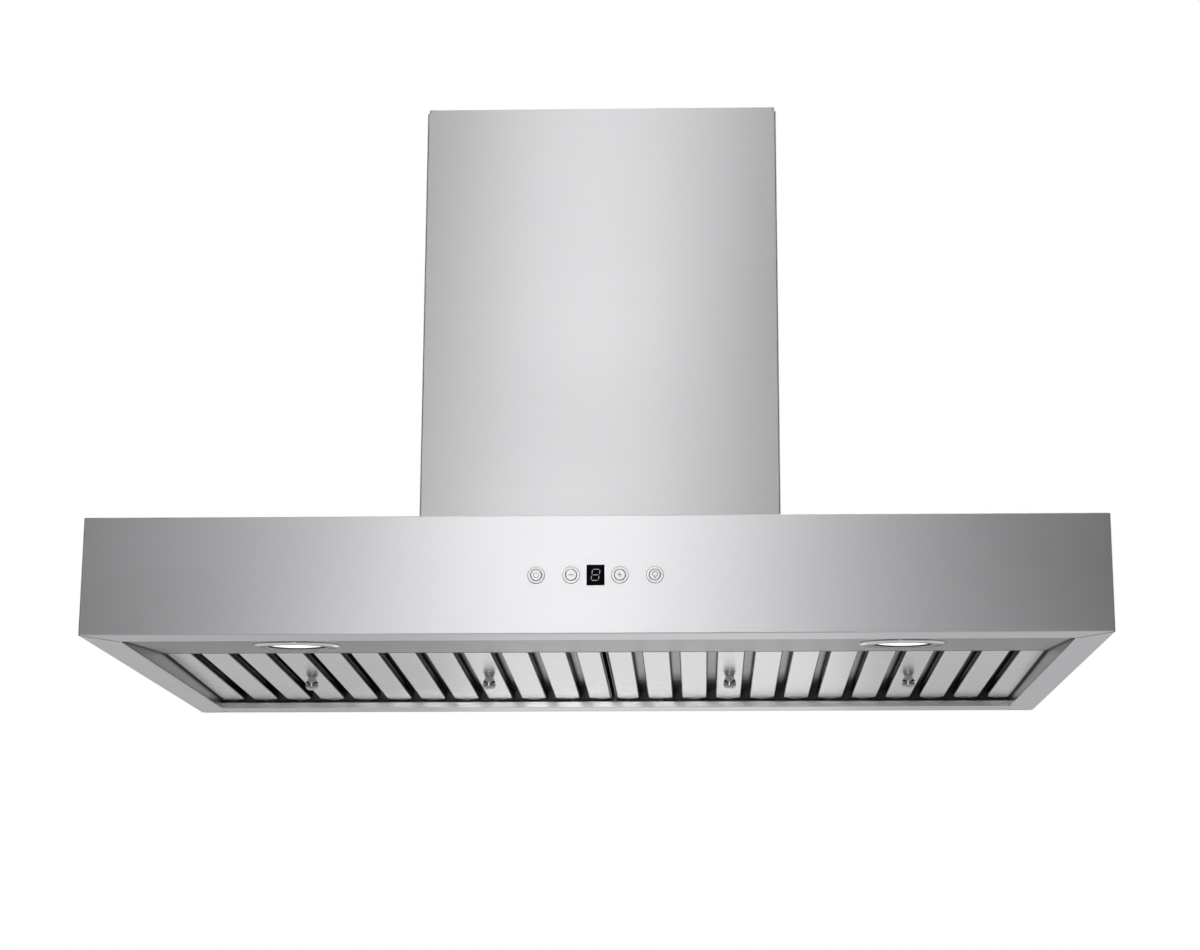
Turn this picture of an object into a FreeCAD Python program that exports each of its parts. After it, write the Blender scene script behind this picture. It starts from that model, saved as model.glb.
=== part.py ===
import FreeCAD, Part
import math
import os
import Sketcher
from FreeCAD import Placement, Rotation, Vector

# An island range hood that hangs from the ceiling: a flat box canopy with two baffle filters, two lamps
# and a push-button panel, under a telescopic square chimney that hides the blower and the hanging frame.
#
# X runs along the width, Y from the front to the back and Z up. The origin is on the ceiling, at the
# middle of the ceiling plate. Heights in this file are measured up from the underside of the canopy's
# rim, and place() takes the whole drop off them.

DIMENSIONS = {
    # canopy
    "canopy_width": 914, "canopy_depth": 508, "canopy_height": 107, "drop": 534, "skin": 1,
    "side_rim": 29, "front_rim": 34, "rear_lip": 8, "corner_round": 1.5,
    "intake_width": 230, "intake_depth": 200,
    # light panel, which slopes up from the front rim to the filters
    "panel_back": 191, "panel_rise": 15, "panel_upstand": 24, "liner_height": 40,
    "lamp_spacing": 558, "lamp_from_front": 91, "lamp_hole": 33, "lamp_ring": 40, "lamp_glass": 27,
    # baffle filters and the grease channel
    "filter_width": 425, "filter_gap": 4, "filter_front": 194, "filter_back": 484, "filter_thick": 13,
    "filter_front_height": 16, "filter_back_height": 8.6, "baffle_pitch": 36.5, "baffle_width": 27.2,
    "baffle_flange": 6.5, "hood_width": 24, "hood_flange": 6, "filter_skin": 0.8, "rail_flange": 6,
    "channel_front": 476, "channel_wall": 6.2, "channel_tab": 8, "channel_rear_wall": 26,
    "knob_radius": 6.5, "knob_length": 13, "knob_from_front": 334,
    # controls
    "controls_shift": 1, "controls_height": 52.5, "inner_button": 21.6, "outer_button": 52.6,
    "button_radius": 5.3, "bezel_radius": 7.7, "bezel_bore": 5.6, "bezel_sleeve": 6.6,
    "window_width": 15.9, "window_height": 18.5, "digit_width": 6.4, "digit_height": 10.6,
    # chimney and hanging frame
    "chimney_width": 338, "chimney_depth": 312, "chimney_reveal": 4, "slip_gap": 0.5,
    "upper_bottom": 120, "post_leg": 25, "upper_leg": 20, "post_thick": 2, "lower_post_top": 497,
    "post_inset": 6, "plate_thick": 3, "opening_width": 240, "opening_depth": 210, "bolt_span_x": 200,
    "bolt_span_y": 250, "ceiling_hole": 4.5, "slot_low": 133, "slot_high": 485, "slot_half": 3.3,
    "bolt_radius": 3, "first_bolt": 140, "bolt_step": 26,
    # blower
    "box_width": 250, "box_depth": 220, "box_height": 250, "blower_axis": 217, "scroll_radius": 97,
    "scroll_width": 160, "inlet_radius": 68, "impeller_radius": 80, "impeller_width": 136,
    "motor_radius": 42, "shaft_radius": 4, "collar_radius": 74.5, "collar_wall": 2, "collar_height": 50,
    "flap_radius": 71.5, "flap_thick": 1.5, "pin_radius": 1.5, "pin_height": 20,
}

doc = FreeCAD.newDocument("IslandRangeHood")
sheet = doc.addObject("Spreadsheet::Sheet", "Dimensions")
for row, (alias, number) in enumerate(DIMENSIONS.items(), start=1):
    sheet.set(f"A{row}", alias)
    sheet.set(f"B{row}", str(number))
    sheet.setAlias(f"B{row}", alias)
doc.recompute()


class Size:
    """A number that remembers the spreadsheet expression it came from."""

    def __init__(self, value, text):
        self.value, self.text = float(value), text

    def _with(self, other, sign, flip=False):
        a, b = (size(other), self) if flip else (self, size(other))
        value = {"+": a.value + b.value, "-": a.value - b.value, "*": a.value * b.value}.get(sign)
        return Size(a.value / b.value if value is None else value, f"({a.text} {sign} {b.text})")

    def __add__(self, other):
        return self._with(other, "+")

    def __sub__(self, other):
        return self._with(other, "-")

    def __mul__(self, other):
        return self._with(other, "*")

    def __truediv__(self, other):
        return self._with(other, "/")

    def __radd__(self, other):
        return self._with(other, "+", flip=True)

    def __rsub__(self, other):
        return self._with(other, "-", flip=True)

    def __rmul__(self, other):
        return self._with(other, "*", flip=True)

    def __neg__(self):
        return 0 - self


def size(x):
    return x if isinstance(x, Size) else Size(x, repr(float(x)))


def dim(alias):
    return Size(DIMENSIONS[alias], f"Dimensions.{alias}")


def bind(item, **values):
    """Binds properties of item to the sheet."""
    for name, value in values.items():
        item.setExpression(name, size(value).text)


def place(item, x=0, y=0, z=0, rotation=Rotation()):
    """Puts item at x, y and z, where z is the height above the rim's underside."""
    x, y, z = size(x), size(y), size(z) - dim("drop")
    item.Placement = Placement(Vector(x.value, y.value, z.value), rotation)
    for letter, value in zip("xyz", (x, y, z)):
        item.setExpression(f".Placement.Base.{letter}", value.text)
    return item


# ---------------------------------------------------------------- ways of making a solid

def block(label, width, depth, height, x=0, y=0, z=0, rotation=Rotation()):
    """A box with its middle over x and y and its underside at z."""
    width, depth = size(width), size(depth)
    item = doc.addObject("Part::Box", label)
    bind(item, Length=width, Width=depth, Height=height)
    return place(item, size(x) - width / 2, size(y) - depth / 2, z, rotation)


TURNS = {
    "Z": Rotation(), "X": Rotation(Vector(0, 1, 0), 90),
    "Y": Rotation(Vector(1, 0, 0), -90), "-Y": Rotation(Vector(1, 0, 0), 90),
}


def rod(label, radius, length, x=0, y=0, z=0, along="Z"):
    """A cylinder that starts at x, y and z and runs along the named axis."""
    item = doc.addObject("Part::Cylinder", label)
    bind(item, Radius=radius, Height=length)
    return place(item, x, y, z, TURNS[along])


def fuse(label, *items):
    item = doc.addObject("Part::MultiFuse", label)
    item.Shapes = list(items)
    item.Refine = True
    return item


def cut(label, base, *tools):
    item = doc.addObject("Part::Cut", label)
    item.Base = base
    item.Tool = tools[0] if len(tools) == 1 else fuse(f"{label}_tools", *tools)
    return item


def group(label, *items):
    """Several separate solids under one name."""
    item = doc.addObject("Part::Compound", label)
    item.Links = list(items)
    return item


def new_sketch(body, role, offset=0):
    sketch = body.newObject("Sketcher::SketchObject", f"{body.Name}_outline")
    plane = next(f for f in body.Origin.OriginFeatures if f.Role == role)
    sketch.AttachmentSupport = (plane, [""])
    sketch.MapMode = "FlatFace"
    sketch.setExpression("AttachmentOffset.Base.z", size(offset).text)
    return sketch


def draw_outline(sketch, points):
    """A closed outline of straight lines, each corner held to the sheet."""
    corners = [(size(a), size(b)) for a, b in points]
    vectors = [Vector(a.value, b.value, 0) for a, b in corners]
    count, first = len(corners), sketch.GeometryCount
    for i in range(count):
        sketch.addGeometry(Part.LineSegment(vectors[i], vectors[(i + 1) % count]))
    for i in range(count):
        here, after = first + i, first + (i + 1) % count
        sketch.addConstraint(Sketcher.Constraint("Coincident", here, 2, after, 1))
    for i, (a, b) in enumerate(corners):
        for kind, value in (("DistanceX", a), ("DistanceY", b)):
            number = sketch.addConstraint(Sketcher.Constraint(kind, first + i, 1, value.value))
            sketch.setExpression(f"Constraints[{number}]", value.text)
    return sketch


def rectangle(x0, y0, x1, y1):
    return [(x0, y0), (x1, y0), (x1, y1), (x0, y1)]


def centred(width, depth, x=0, y=0):
    half_x, half_y = size(width) / 2, size(depth) / 2
    return rectangle(x - half_x, y - half_y, x + half_x, y + half_y)


def draw_circle(sketch, radius, a=0, b=0):
    number = sketch.addGeometry(Part.Circle(Vector(size(a).value, size(b).value, 0), Vector(0, 0, 1), 1))
    for kind, point, value in (("DistanceX", 3, a), ("DistanceY", 3, b)):
        held = sketch.addConstraint(Sketcher.Constraint(kind, number, point, size(value).value))
        sketch.setExpression(f"Constraints[{held}]", size(value).text)
    held = sketch.addConstraint(Sketcher.Constraint("Radius", number, size(radius).value))
    sketch.setExpression(f"Constraints[{held}]", size(radius).text)


def pad(body, sketch, length, midplane=False):
    feature = body.newObject("PartDesign::Pad", f"{body.Name}_pad")
    feature.Profile = sketch
    if midplane:
        feature.SideType = "Symmetric"
    bind(feature, Length=length)
    return feature


def pocket(body, sketch, length, reverse=False):
    """Cuts sketch out of body, and stops if the cut misses."""
    doc.recompute()
    before = body.Shape.Volume
    feature = body.newObject("PartDesign::Pocket", f"{body.Name}_pocket")
    feature.Profile = sketch
    feature.Reversed = reverse
    bind(feature, Length=length)
    doc.recompute()
    assert body.Shape.Volume < before - 1, f"{feature.Name} cuts nothing"
    return feature


def round_edges(body, radius, chosen):
    """Fillets the edges of body that chosen(edge) picks."""
    doc.recompute()
    names = [f"Edge{i}" for i, edge in enumerate(body.Shape.Edges, start=1) if chosen(edge)]
    solid = body.Tip
    feature = body.newObject("PartDesign::Fillet", f"{body.Name}_fillet")
    feature.Base = (solid, names)
    bind(feature, Radius=radius)
    doc.recompute()


def extruded(label, points, length, role="YZ_Plane"):
    """A body with a constant section, drawn on the named plane and padded both ways from it."""
    body = doc.addObject("PartDesign::Body", label)
    pad(body, draw_outline(new_sketch(body, role), points), length, midplane=True)
    return body


def turned(label, points):
    """A body turned round its own Z axis from a half section in X and Z."""
    body = doc.addObject("PartDesign::Body", label)
    sketch = draw_outline(new_sketch(body, "XZ_Plane"), points)
    feature = body.newObject("PartDesign::Revolution", f"{body.Name}_turned")
    feature.Profile = sketch
    feature.ReferenceAxis = (sketch, ["V_Axis"])
    feature.Angle = 360
    return body


def copies(label, sources, placements):
    """One node that holds a copy of each source at each of its own placements."""
    doc.recompute()
    solids = []
    for source, spots in zip(sources, placements):
        solid = source.Shape.copy()
        solid.Placement = Placement()
        solids += [solid.transformed(spot.toMatrix()) for spot in spots]
    item = doc.addObject("Part::Feature", label)
    item.Shape = Part.makeCompound(solids)
    return item


def at(x, y, z, rotation=Rotation()):
    """A placement at that height above the rim, from plain numbers or sizes."""
    return Placement(Vector(size(x).value, size(y).value, size(z).value - DIMENSIONS["drop"]), rotation)


bodies = {}


def keep(body_name, *items):
    """Lists items as sub-parts of a rigid body. Their labels name their files."""
    bodies.setdefault(body_name, []).extend(items)
    return items[-1]


# ---------------------------------------------------------------- places that several pieces share

half_width, half_depth = dim("canopy_width") / 2, dim("canopy_depth") / 2
height, skin = dim("canopy_height"), dim("skin")
front, back = -half_depth, half_depth
liner_x = half_width - dim("side_rim")
rim_y = front + dim("front_rim")
panel_y = front + dim("panel_back")
channel_y = front + dim("channel_front")
filter_y = front + dim("filter_front")
filter_end = front + dim("filter_back")
ceiling = dim("drop")


# ---------------------------------------------------------------- canopy
# The canopy is one seam-welded steel skin: four walls, the top and the turned-in rim.

def canopy_shell():
    body = doc.addObject("PartDesign::Body", "canopy_shell")
    outline = draw_outline(new_sketch(body, "XY_Plane"), centred(dim("canopy_width"), dim("canopy_depth")))
    pad(body, outline, height)
    upright = lambda e: abs(e.BoundBox.ZLength - DIMENSIONS["canopy_height"]) < 0.01
    round_edges(body, dim("corner_round"), upright)
    hollow = draw_outline(new_sketch(body, "XY_Plane", height - skin),
                          centred(dim("canopy_width") - skin * 2, dim("canopy_depth") - skin * 2))
    pocket(body, hollow, height - skin * 2)
    mouth = draw_outline(new_sketch(body, "XY_Plane", skin * 2),
                         rectangle(-liner_x, rim_y, liner_x, back - dim("rear_lip")))
    pocket(body, mouth, skin * 3)
    intake = draw_outline(new_sketch(body, "XY_Plane", height + 1),
                          centred(dim("intake_width"), dim("intake_depth")))
    pocket(body, intake, skin * 3)
    holes = new_sketch(body, "XZ_Plane", half_depth + 1)
    for side in (-1, 1):
        for offset in ("inner_button", "outer_button"):
            draw_circle(holes, dim("bezel_sleeve"), dim("controls_shift") + side * dim(offset),
                        dim("controls_height"))
    draw_outline(holes, centred(dim("window_width") - 2, dim("window_height") - 2, dim("controls_shift"),
                                dim("controls_height")))
    pocket(body, holes, skin * 4)
    return place(body)


keep("hood", canopy_shell())

# A liner stands on each side rim and closes the canopy beside the filters.
for side, name in ((-1, "left"), (1, "right")):
    inner, outer = side * liner_x, side * (liner_x + skin)
    flange = side * (liner_x + dim("side_rim") - 3)
    liner = extruded(f"side_liner_{name}", [
        (inner, skin), (flange, skin), (flange, skin * 2), (outer, skin * 2),
        (outer, dim("liner_height")), (inner, dim("liner_height")),
    ], dim("canopy_depth") - skin * 2 - 2, role="XZ_Plane")
    keep("hood", place(liner))


def light_panel():
    """The sloping strip behind the front rim. Its rear edge turns up behind the filters' front rails."""
    bottom = skin
    top = dim("panel_rise") + dim("panel_upstand")
    body = extruded("light_panel", [
        (front + 4, bottom), (rim_y, bottom), (panel_y, dim("panel_rise")), (panel_y, top),
        (panel_y - skin, top), (panel_y - skin, dim("panel_rise") + skin), (rim_y, bottom + skin),
        (front + 4, bottom + skin),
    ], liner_x * 2 - 0.4)
    holes = new_sketch(body, "XY_Plane", dim("panel_rise") + 5)
    for side in (-1, 1):
        draw_circle(holes, dim("lamp_hole"), side * dim("lamp_spacing") / 2, lamp_y)
    pocket(body, holes, dim("panel_rise") + 4)
    return place(body)


lamp_y = front + dim("lamp_from_front")
slope = math.degrees(math.atan2(DIMENSIONS["panel_rise"] - DIMENSIONS["skin"],
                                DIMENSIONS["panel_back"] - DIMENSIONS["front_rim"]))
panel_tilt = Rotation(Vector(1, 0, 0), slope)
lamp_z = skin + (dim("lamp_from_front") - dim("front_rim")) * math.tan(math.radians(slope))
keep("hood", light_panel())

# Each lamp is a trim ring under the panel, a glass in it and a finned body above it, held by two springs.
ring_r, glass_r, hole_r = dim("lamp_ring"), dim("lamp_glass"), dim("lamp_hole")
for side, name in ((-1, "left"), (1, "right")):
    x = side * dim("lamp_spacing") / 2
    ring = turned(f"lamp_ring_{name}", [
        (glass_r, -2.6), (ring_r - 2.5, -2.6), (ring_r, -0.8), (ring_r, 0), (hole_r - 1, 0),
        (hole_r - 1, 5), (glass_r + 2, 5), (glass_r + 2, 0.4), (glass_r, 0.4),
    ])
    glass = turned(f"lamp_glass_{name}", [(0, 0.5), (glass_r + 1.8, 0.5), (glass_r + 1.8, 3), (0, 3)])
    body = turned(f"lamp_body_{name}", [
        (0, 5), (hole_r - 1, 5), (hole_r - 1, 14), (hole_r - 5, 14), (hole_r - 5, 16), (hole_r - 1, 16),
        (hole_r - 1, 18), (hole_r - 5, 18), (hole_r - 5, 20), (hole_r - 1, 20), (hole_r - 1, 24), (0, 24),
    ])
    for item in (ring, glass, body):
        keep("hood", place(item, x, lamp_y, lamp_z, panel_tilt))

spring = extruded("lamp_spring", [
    (0, 0), (3.8, 0), (13.8, -7.8), (18, -7.4), (18, -6.6), (14, -7), (4, 0.8), (0, 0.8),
], 8, role="XZ_Plane")
spring_places = []
for side in (-1, 1):
    for turn in (0, 180):
        reach = Vector(DIMENSIONS["lamp_hole"] - 1, 0, 9)
        reach = Rotation(Vector(0, 0, 1), turn).multVec(reach)
        middle = Vector(side * DIMENSIONS["lamp_spacing"] / 2, lamp_y.value, lamp_z.value)
        spot = middle + panel_tilt.multVec(reach)
        spring_places.append(at(spot.x, spot.y, spot.z, panel_tilt * Rotation(Vector(0, 0, 1), turn)))
keep("hood", copies("lamp_springs", [spring], [spring_places]))


# ---------------------------------------------------------------- baffle filters
# A filter is a welded rail frame with a lower row of open channels and an upper row of inverted channels
# over the slots between them, so the air turns twice and drops its grease. It lies on the grease
# channel's front wall and swings down about it.

filter_run = dim("filter_back") - dim("filter_front")
fall = math.degrees(math.atan2(DIMENSIONS["filter_back_height"] - DIMENSIONS["filter_front_height"],
                               DIMENSIONS["filter_back"] - DIMENSIONS["filter_front"]))
filter_tilt = Rotation(Vector(1, 0, 0), fall)
thin, thick, rail = dim("filter_skin"), dim("filter_thick"), dim("rail_flange")
BAFFLES = 12
# The end baffles are narrower, because the frame's side rails take their outer edge.
end_width = dim("baffle_width") - 3


def channel_section(width, flange, base, up):
    """A channel's section in X and Z, open upwards if up is 1 and downwards if it is -1."""
    half, inner, tip = width / 2, width / 2 - thin, base + up * flange
    web = base + up * thin
    return [(-half, tip), (-half, base), (half, base), (half, tip), (inner, tip), (inner, web),
            (-inner, web), (-inner, tip)]


def lower_baffle(label, width, run):
    """An open channel whose rear corners are cut off, so that the grease drips into the channel behind."""
    body = extruded(label, channel_section(width, dim("baffle_flange"), Size(0, "0"), 1), run,
                    role="XZ_Plane")
    corners_off = new_sketch(body, "XY_Plane", 10)
    edge, end = width / 2 + 1, run / 2 + 1
    for way in (-1, 1):
        draw_outline(corners_off, [(way * edge, end - 14), (way * edge, end), (way * (edge - 8), end)])
    pocket(body, corners_off, 20)
    return body


def filter_frame(name):
    """Four rails: the front and rear ones hold the baffle ends, the side ones stand beside the last."""
    length = filter_run.value
    wide, deep = dim("filter_width"), Size(length, repr(length))
    outer = block(f"frame_outer_{name}", wide, deep, thick, y=deep / 2)
    inner = block(f"frame_inner_{name}", wide - 2 * thin, deep - 2 * thin, thick - 2 * thin, y=deep / 2,
                  z=thin)
    above = block(f"frame_above_{name}", wide - 2 * thin, deep - 2 * rail, 4, y=deep / 2, z=thick - 2)
    below = block(f"frame_below_{name}", wide - 2 * thin, deep - 2 * rail, 4, y=deep / 2, z=-2)
    return cut(f"filter_frame_{name}", outer, inner, above, below)


for side, name in ((-1, "left"), (1, "right")):
    middle = side * (dim("filter_width") / 2 + dim("filter_gap") / 2)
    lying = Placement(Vector(middle.value, filter_y.value, DIMENSIONS["filter_front_height"]), filter_tilt)
    raised = Placement(Vector(0, 0, DIMENSIONS["drop"]), Rotation())
    down = Placement(Vector(0, 0, -DIMENSIONS["drop"]), Rotation())

    frame = filter_frame(name)
    keep(f"filter_{name}", copies(f"filter_rails_{name}", [frame], [[down * lying * raised]]))

    first = -(BAFFLES - 1) / 2 * DIMENSIONS["baffle_pitch"]
    run = filter_run - 2 * rail
    plain = lower_baffle(f"lower_baffle_{name}", dim("baffle_width"), run)
    outer = lower_baffle(f"end_baffle_{name}", end_width, run)
    upper = extruded(f"upper_baffle_{name}", channel_section(dim("hood_width"), dim("hood_flange"),
                     thick - thin - 0.5, -1), filter_run - 2 * thin - 1, role="XZ_Plane")
    steps = [first + i * DIMENSIONS["baffle_pitch"] for i in range(BAFFLES)]
    shift = (DIMENSIONS["baffle_width"] - end_width.value) / 2
    lower_mid = DIMENSIONS["rail_flange"] + run.value / 2
    upper_mid = filter_run.value / 2
    gaps = [s + DIMENSIONS["baffle_pitch"] / 2 for s in steps[:-1]]
    middle_row = [down * lying * Placement(Vector(s, lower_mid, 0), Rotation()) for s in steps[1:-1]]
    end_pair = [down * lying * Placement(Vector(s, lower_mid, 0), Rotation())
                for s in (steps[0] + shift, steps[-1] - shift)]
    keep(f"filter_{name}", copies(f"lower_baffles_{name}", [plain, outer], [middle_row, end_pair]))
    keep(f"filter_{name}", copies(f"upper_baffles_{name}", [upper], [[
        down * lying * Placement(Vector(s, upper_mid, 0), Rotation()) for s in gaps]]))

    r, long = dim("knob_radius"), dim("knob_length")
    knob = turned(f"knob_{name}", [
        (0, 0), (3, 0), (3, -0.8), (r - 1.2, -4), (r, -7), (r, 3 - long), (r - 1.2, 1.2 - long),
        (r - 3.5, -long), (0, -long),
    ])
    spots = [steps[3], steps[8]] if side < 0 else [steps[11 - 8], steps[11 - 3]]
    reach = DIMENSIONS["knob_from_front"] - DIMENSIONS["filter_front"]
    knob_places = [down * lying * Placement(Vector(s, reach, 0), Rotation()) for s in spots]
    keep(f"filter_{name}", copies(f"filter_knobs_{name}", [knob], [knob_places]))
    screw = turned(f"knob_screw_{name}", [(0, 0.8), (4, 0.8), (4, 2.2), (3, 3), (0, 3)])
    keep(f"filter_{name}", copies(f"knob_screws_{name}", [screw], [knob_places]))

# Leaf springs on the light panel's upstand press on the filters' front rails and hold them up.
catch = extruded("filter_catch", [(0, 0), (0.8, 0), (0.8, 5), (1.9, 8), (0.8, 11), (0.8, 16), (0, 16),
                                  (0, 11), (1.1, 8), (0, 5)], 18)
catch_z = dim("panel_rise") + 2
keep("hood", copies("filter_catches", [catch], [[
    at(side * x, panel_y, catch_z) for side in (-1, 1) for x in (100, 330)]]))


def grease_channel():
    """The gutter along the back. Its floor is the rear rim, and tabs on its front wall carry the filters."""
    wall, rear = dim("channel_wall"), dim("channel_rear_wall")
    end = back - dim("rear_lip") - 0.4
    body = extruded("grease_gutter", [
        (channel_y, 0), (end, 0), (end, rear), (end - skin, rear), (end - skin, skin),
        (channel_y + skin, skin), (channel_y + skin, wall), (channel_y, wall),
    ], liner_x * 2 - 1)
    place(body)
    tabs = [block(f"channel_tab_{x}", 14, skin, dim("channel_tab") - wall + 2, x, channel_y + skin / 2, wall - 2)
            for x in (-370, -60, 60, 370)]
    return fuse("grease_channel", body, *tabs)


keep("grease_channel", grease_channel())


# ---------------------------------------------------------------- controls
# Four sprung buttons in bezels and a one-digit display, on a board in a housing behind the front wall.

panel_x, panel_z = dim("controls_shift"), dim("controls_height")
button_x = {
    "power": panel_x - dim("outer_button"), "minus": panel_x - dim("inner_button"),
    "plus": panel_x + dim("inner_button"), "light": panel_x + dim("outer_button"),
}
inwards = Rotation(Vector(1, 0, 0), -90)
BOARD_Y = 18
for name, x in button_x.items():
    cap_r = dim("button_radius")
    button = turned(f"button_{name}", [
        (0, -1.6), (cap_r - 0.6, -1.6), (cap_r, -1.1), (cap_r, 3.9), (cap_r + 1, 3.9), (cap_r + 1, 5),
        (2.5, 5), (2.5, 11.6), (0, 11.6),
    ])
    keep(f"button_{name}", place(button, x, front, panel_z, inwards))

bezel = turned("button_bezel", [
    (dim("bezel_bore"), -0.9), (dim("bezel_radius") - 0.7, -0.9), (dim("bezel_radius"), -0.3),
    (dim("bezel_radius"), 0), (dim("bezel_sleeve") - 0.1, 0), (dim("bezel_sleeve") - 0.1, 3.5),
    (dim("bezel_bore"), 3.5),
])
keep("hood", copies("button_bezels", [bezel], [[
    at(x, front, panel_z, inwards) for x in button_x.values()]]))

window = fuse(
    "display_window",
    block("window_plate", dim("window_width"), 0.8, dim("window_height"), panel_x, front - 0.4,
          panel_z - dim("window_height") / 2),
    block("window_neck", dim("window_width") - 2.4, 8, dim("window_height") - 2.4, panel_x, front + 4,
          panel_z - dim("window_height") / 2 + 1.2),
)
keep("hood", window)


def digit():
    """The seven bars of a leaning figure eight, in front of the window."""
    wide, tall, bar, gap, lean = dim("digit_width"), dim("digit_height"), 1.0, 0.35, 0.14
    half, quarter = wide / 2, tall / 4
    bars = [(Size(0, "0"), level * quarter * 2, True) for level in (-1, 0, 1)]
    bars += [(side * half, level * quarter, False) for side in (-1, 1) for level in (-1, 1)]
    pieces = []
    for number, (x, z, flat) in enumerate(bars):
        reach = (half - gap - bar / 2) if flat else (quarter - gap - bar / 2)
        along = [(-reach, -bar / 2), (reach, -bar / 2), (reach + bar / 2, 0), (reach, bar / 2),
                 (-reach, bar / 2), (-reach - bar / 2, 0)]
        points = along if flat else [(b, a) for a, b in along]
        points = [(size(a) + x, size(b) + z) for a, b in points]
        points = [(a + b * lean, b) for a, b in points]
        segment = extruded(f"segment_{number}", points, 0.2, role="XZ_Plane")
        pieces.append(place(segment, panel_x, front - 0.9, panel_z))
    return group("display_digit", *pieces)


keep("hood", digit())
board = block("control_board", 132, 1.6, 38, panel_x, front + BOARD_Y + 0.8, panel_z - 19)
keep("hood", board)
tact = fuse("tact_switch", block("tact_case", 6, 3.5, 6, z=dim("drop") - 3),
            rod("tact_plunger", 1.7, 1.5, y=-3.25, z=dim("drop"), along="Y"))
keep("hood", copies("tact_switches", [tact], [[
    at(x, front + BOARD_Y - 1.75, panel_z) for x in button_x.values()]]))
shell = block("housing_outer", 142, 26, 46, panel_x, front + skin + 13, panel_z - 23)
space = block("housing_inner", 138, 24, 42, panel_x, front + skin + 12, panel_z - 21)
posts = [block(f"housing_post_{side}", 4, 3.4, 20, panel_x + side * 64, front + BOARD_Y + 1.6 + 3.7, panel_z - 10)
         for side in (-1, 1)]
keep("hood", fuse("control_housing", cut("housing_case", shell, space), *posts))


# ---------------------------------------------------------------- chimney covers and hanging frame
# The lower cover stands on the canopy in two halves. The upper cover slides inside it and hangs with the
# frame's upper half from the ceiling. Bolts in slots clamp the two halves of the frame.

wide, deep = dim("chimney_width"), dim("chimney_depth")
lower_top = ceiling - dim("chimney_reveal") - 0.5
lower_tall = lower_top - height


def square_tube(label, width, depth, tall, z, wall=skin):
    outer = block(f"{label}_outer", width, depth, tall, z=z)
    rounded = doc.addObject("Part::Fillet", f"{label}_rounded")
    rounded.Base = outer
    doc.recompute()
    corner = DIMENSIONS["corner_round"]
    upright = [i for i, e in enumerate(outer.Shape.Edges, start=1) if e.BoundBox.ZLength > 50]
    rounded.Edges = [(i, corner, corner) for i in upright]
    inner = block(f"{label}_inner", width - wall * 2, depth - wall * 2, tall + 20, z=z - 10)
    return cut(f"{label}_tube", rounded, inner)


def half_cover(label, tube, side):
    """The front or rear half of the lower cover, which meets the other half at the side seams."""
    other = block(f"{label}_other", wide + 20, deep, lower_tall + 20, y=-side * (deep / 2 - 0.15),
                  z=height - 10)
    return cut(label, tube, other)


for side, name in ((-1, "front"), (1, "rear")):
    tube = square_tube(f"lower_{name}", wide, deep, lower_tall, height)
    keep("hood", half_cover(f"lower_chimney_{name}", tube, side))

base_ring = cut("chimney_base_ring",
                block("base_ring_outer", wide - skin * 2, deep - skin * 2, 12, z=height),
                block("base_ring_inner", wide - skin * 4, deep - skin * 4, 14, z=height - 1))
keep("hood", base_ring)

gap = dim("slip_gap")
upper_wide, upper_deep = wide - skin * 2 - gap * 2, deep - skin * 2 - gap * 2
upper_tall = ceiling - dim("upper_bottom")
upper = square_tube("upper", upper_wide, upper_deep, upper_tall, dim("upper_bottom"))
seam = block("upper_seam", 0.6, 6, upper_tall + 2, y=upper_deep / 2, z=dim("upper_bottom") - 1)
keep("ceiling_frame", cut("upper_chimney", upper, seam))

post_x = upper_wide / 2 - skin - dim("post_inset")
post_y = upper_deep / 2 - skin - dim("post_inset")
leg, leg2, wall = dim("post_leg"), dim("upper_leg"), dim("post_thick")
lower_z = height + dim("plate_thick")


def corner_post(label, x, y, sx, sy, leg_length, bottom, top):
    """An angle iron with its outer corner at x and y, in the corner that sx and sy name."""
    along_x = block(f"{label}_a", leg_length, wall, top - bottom, x - sx * leg_length / 2, y - sy * wall / 2,
                    bottom)
    along_y = block(f"{label}_b", wall, leg_length, top - bottom, x - sx * wall / 2, y - sy * leg_length / 2,
                    bottom)
    return fuse(label, along_x, along_y)


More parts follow.
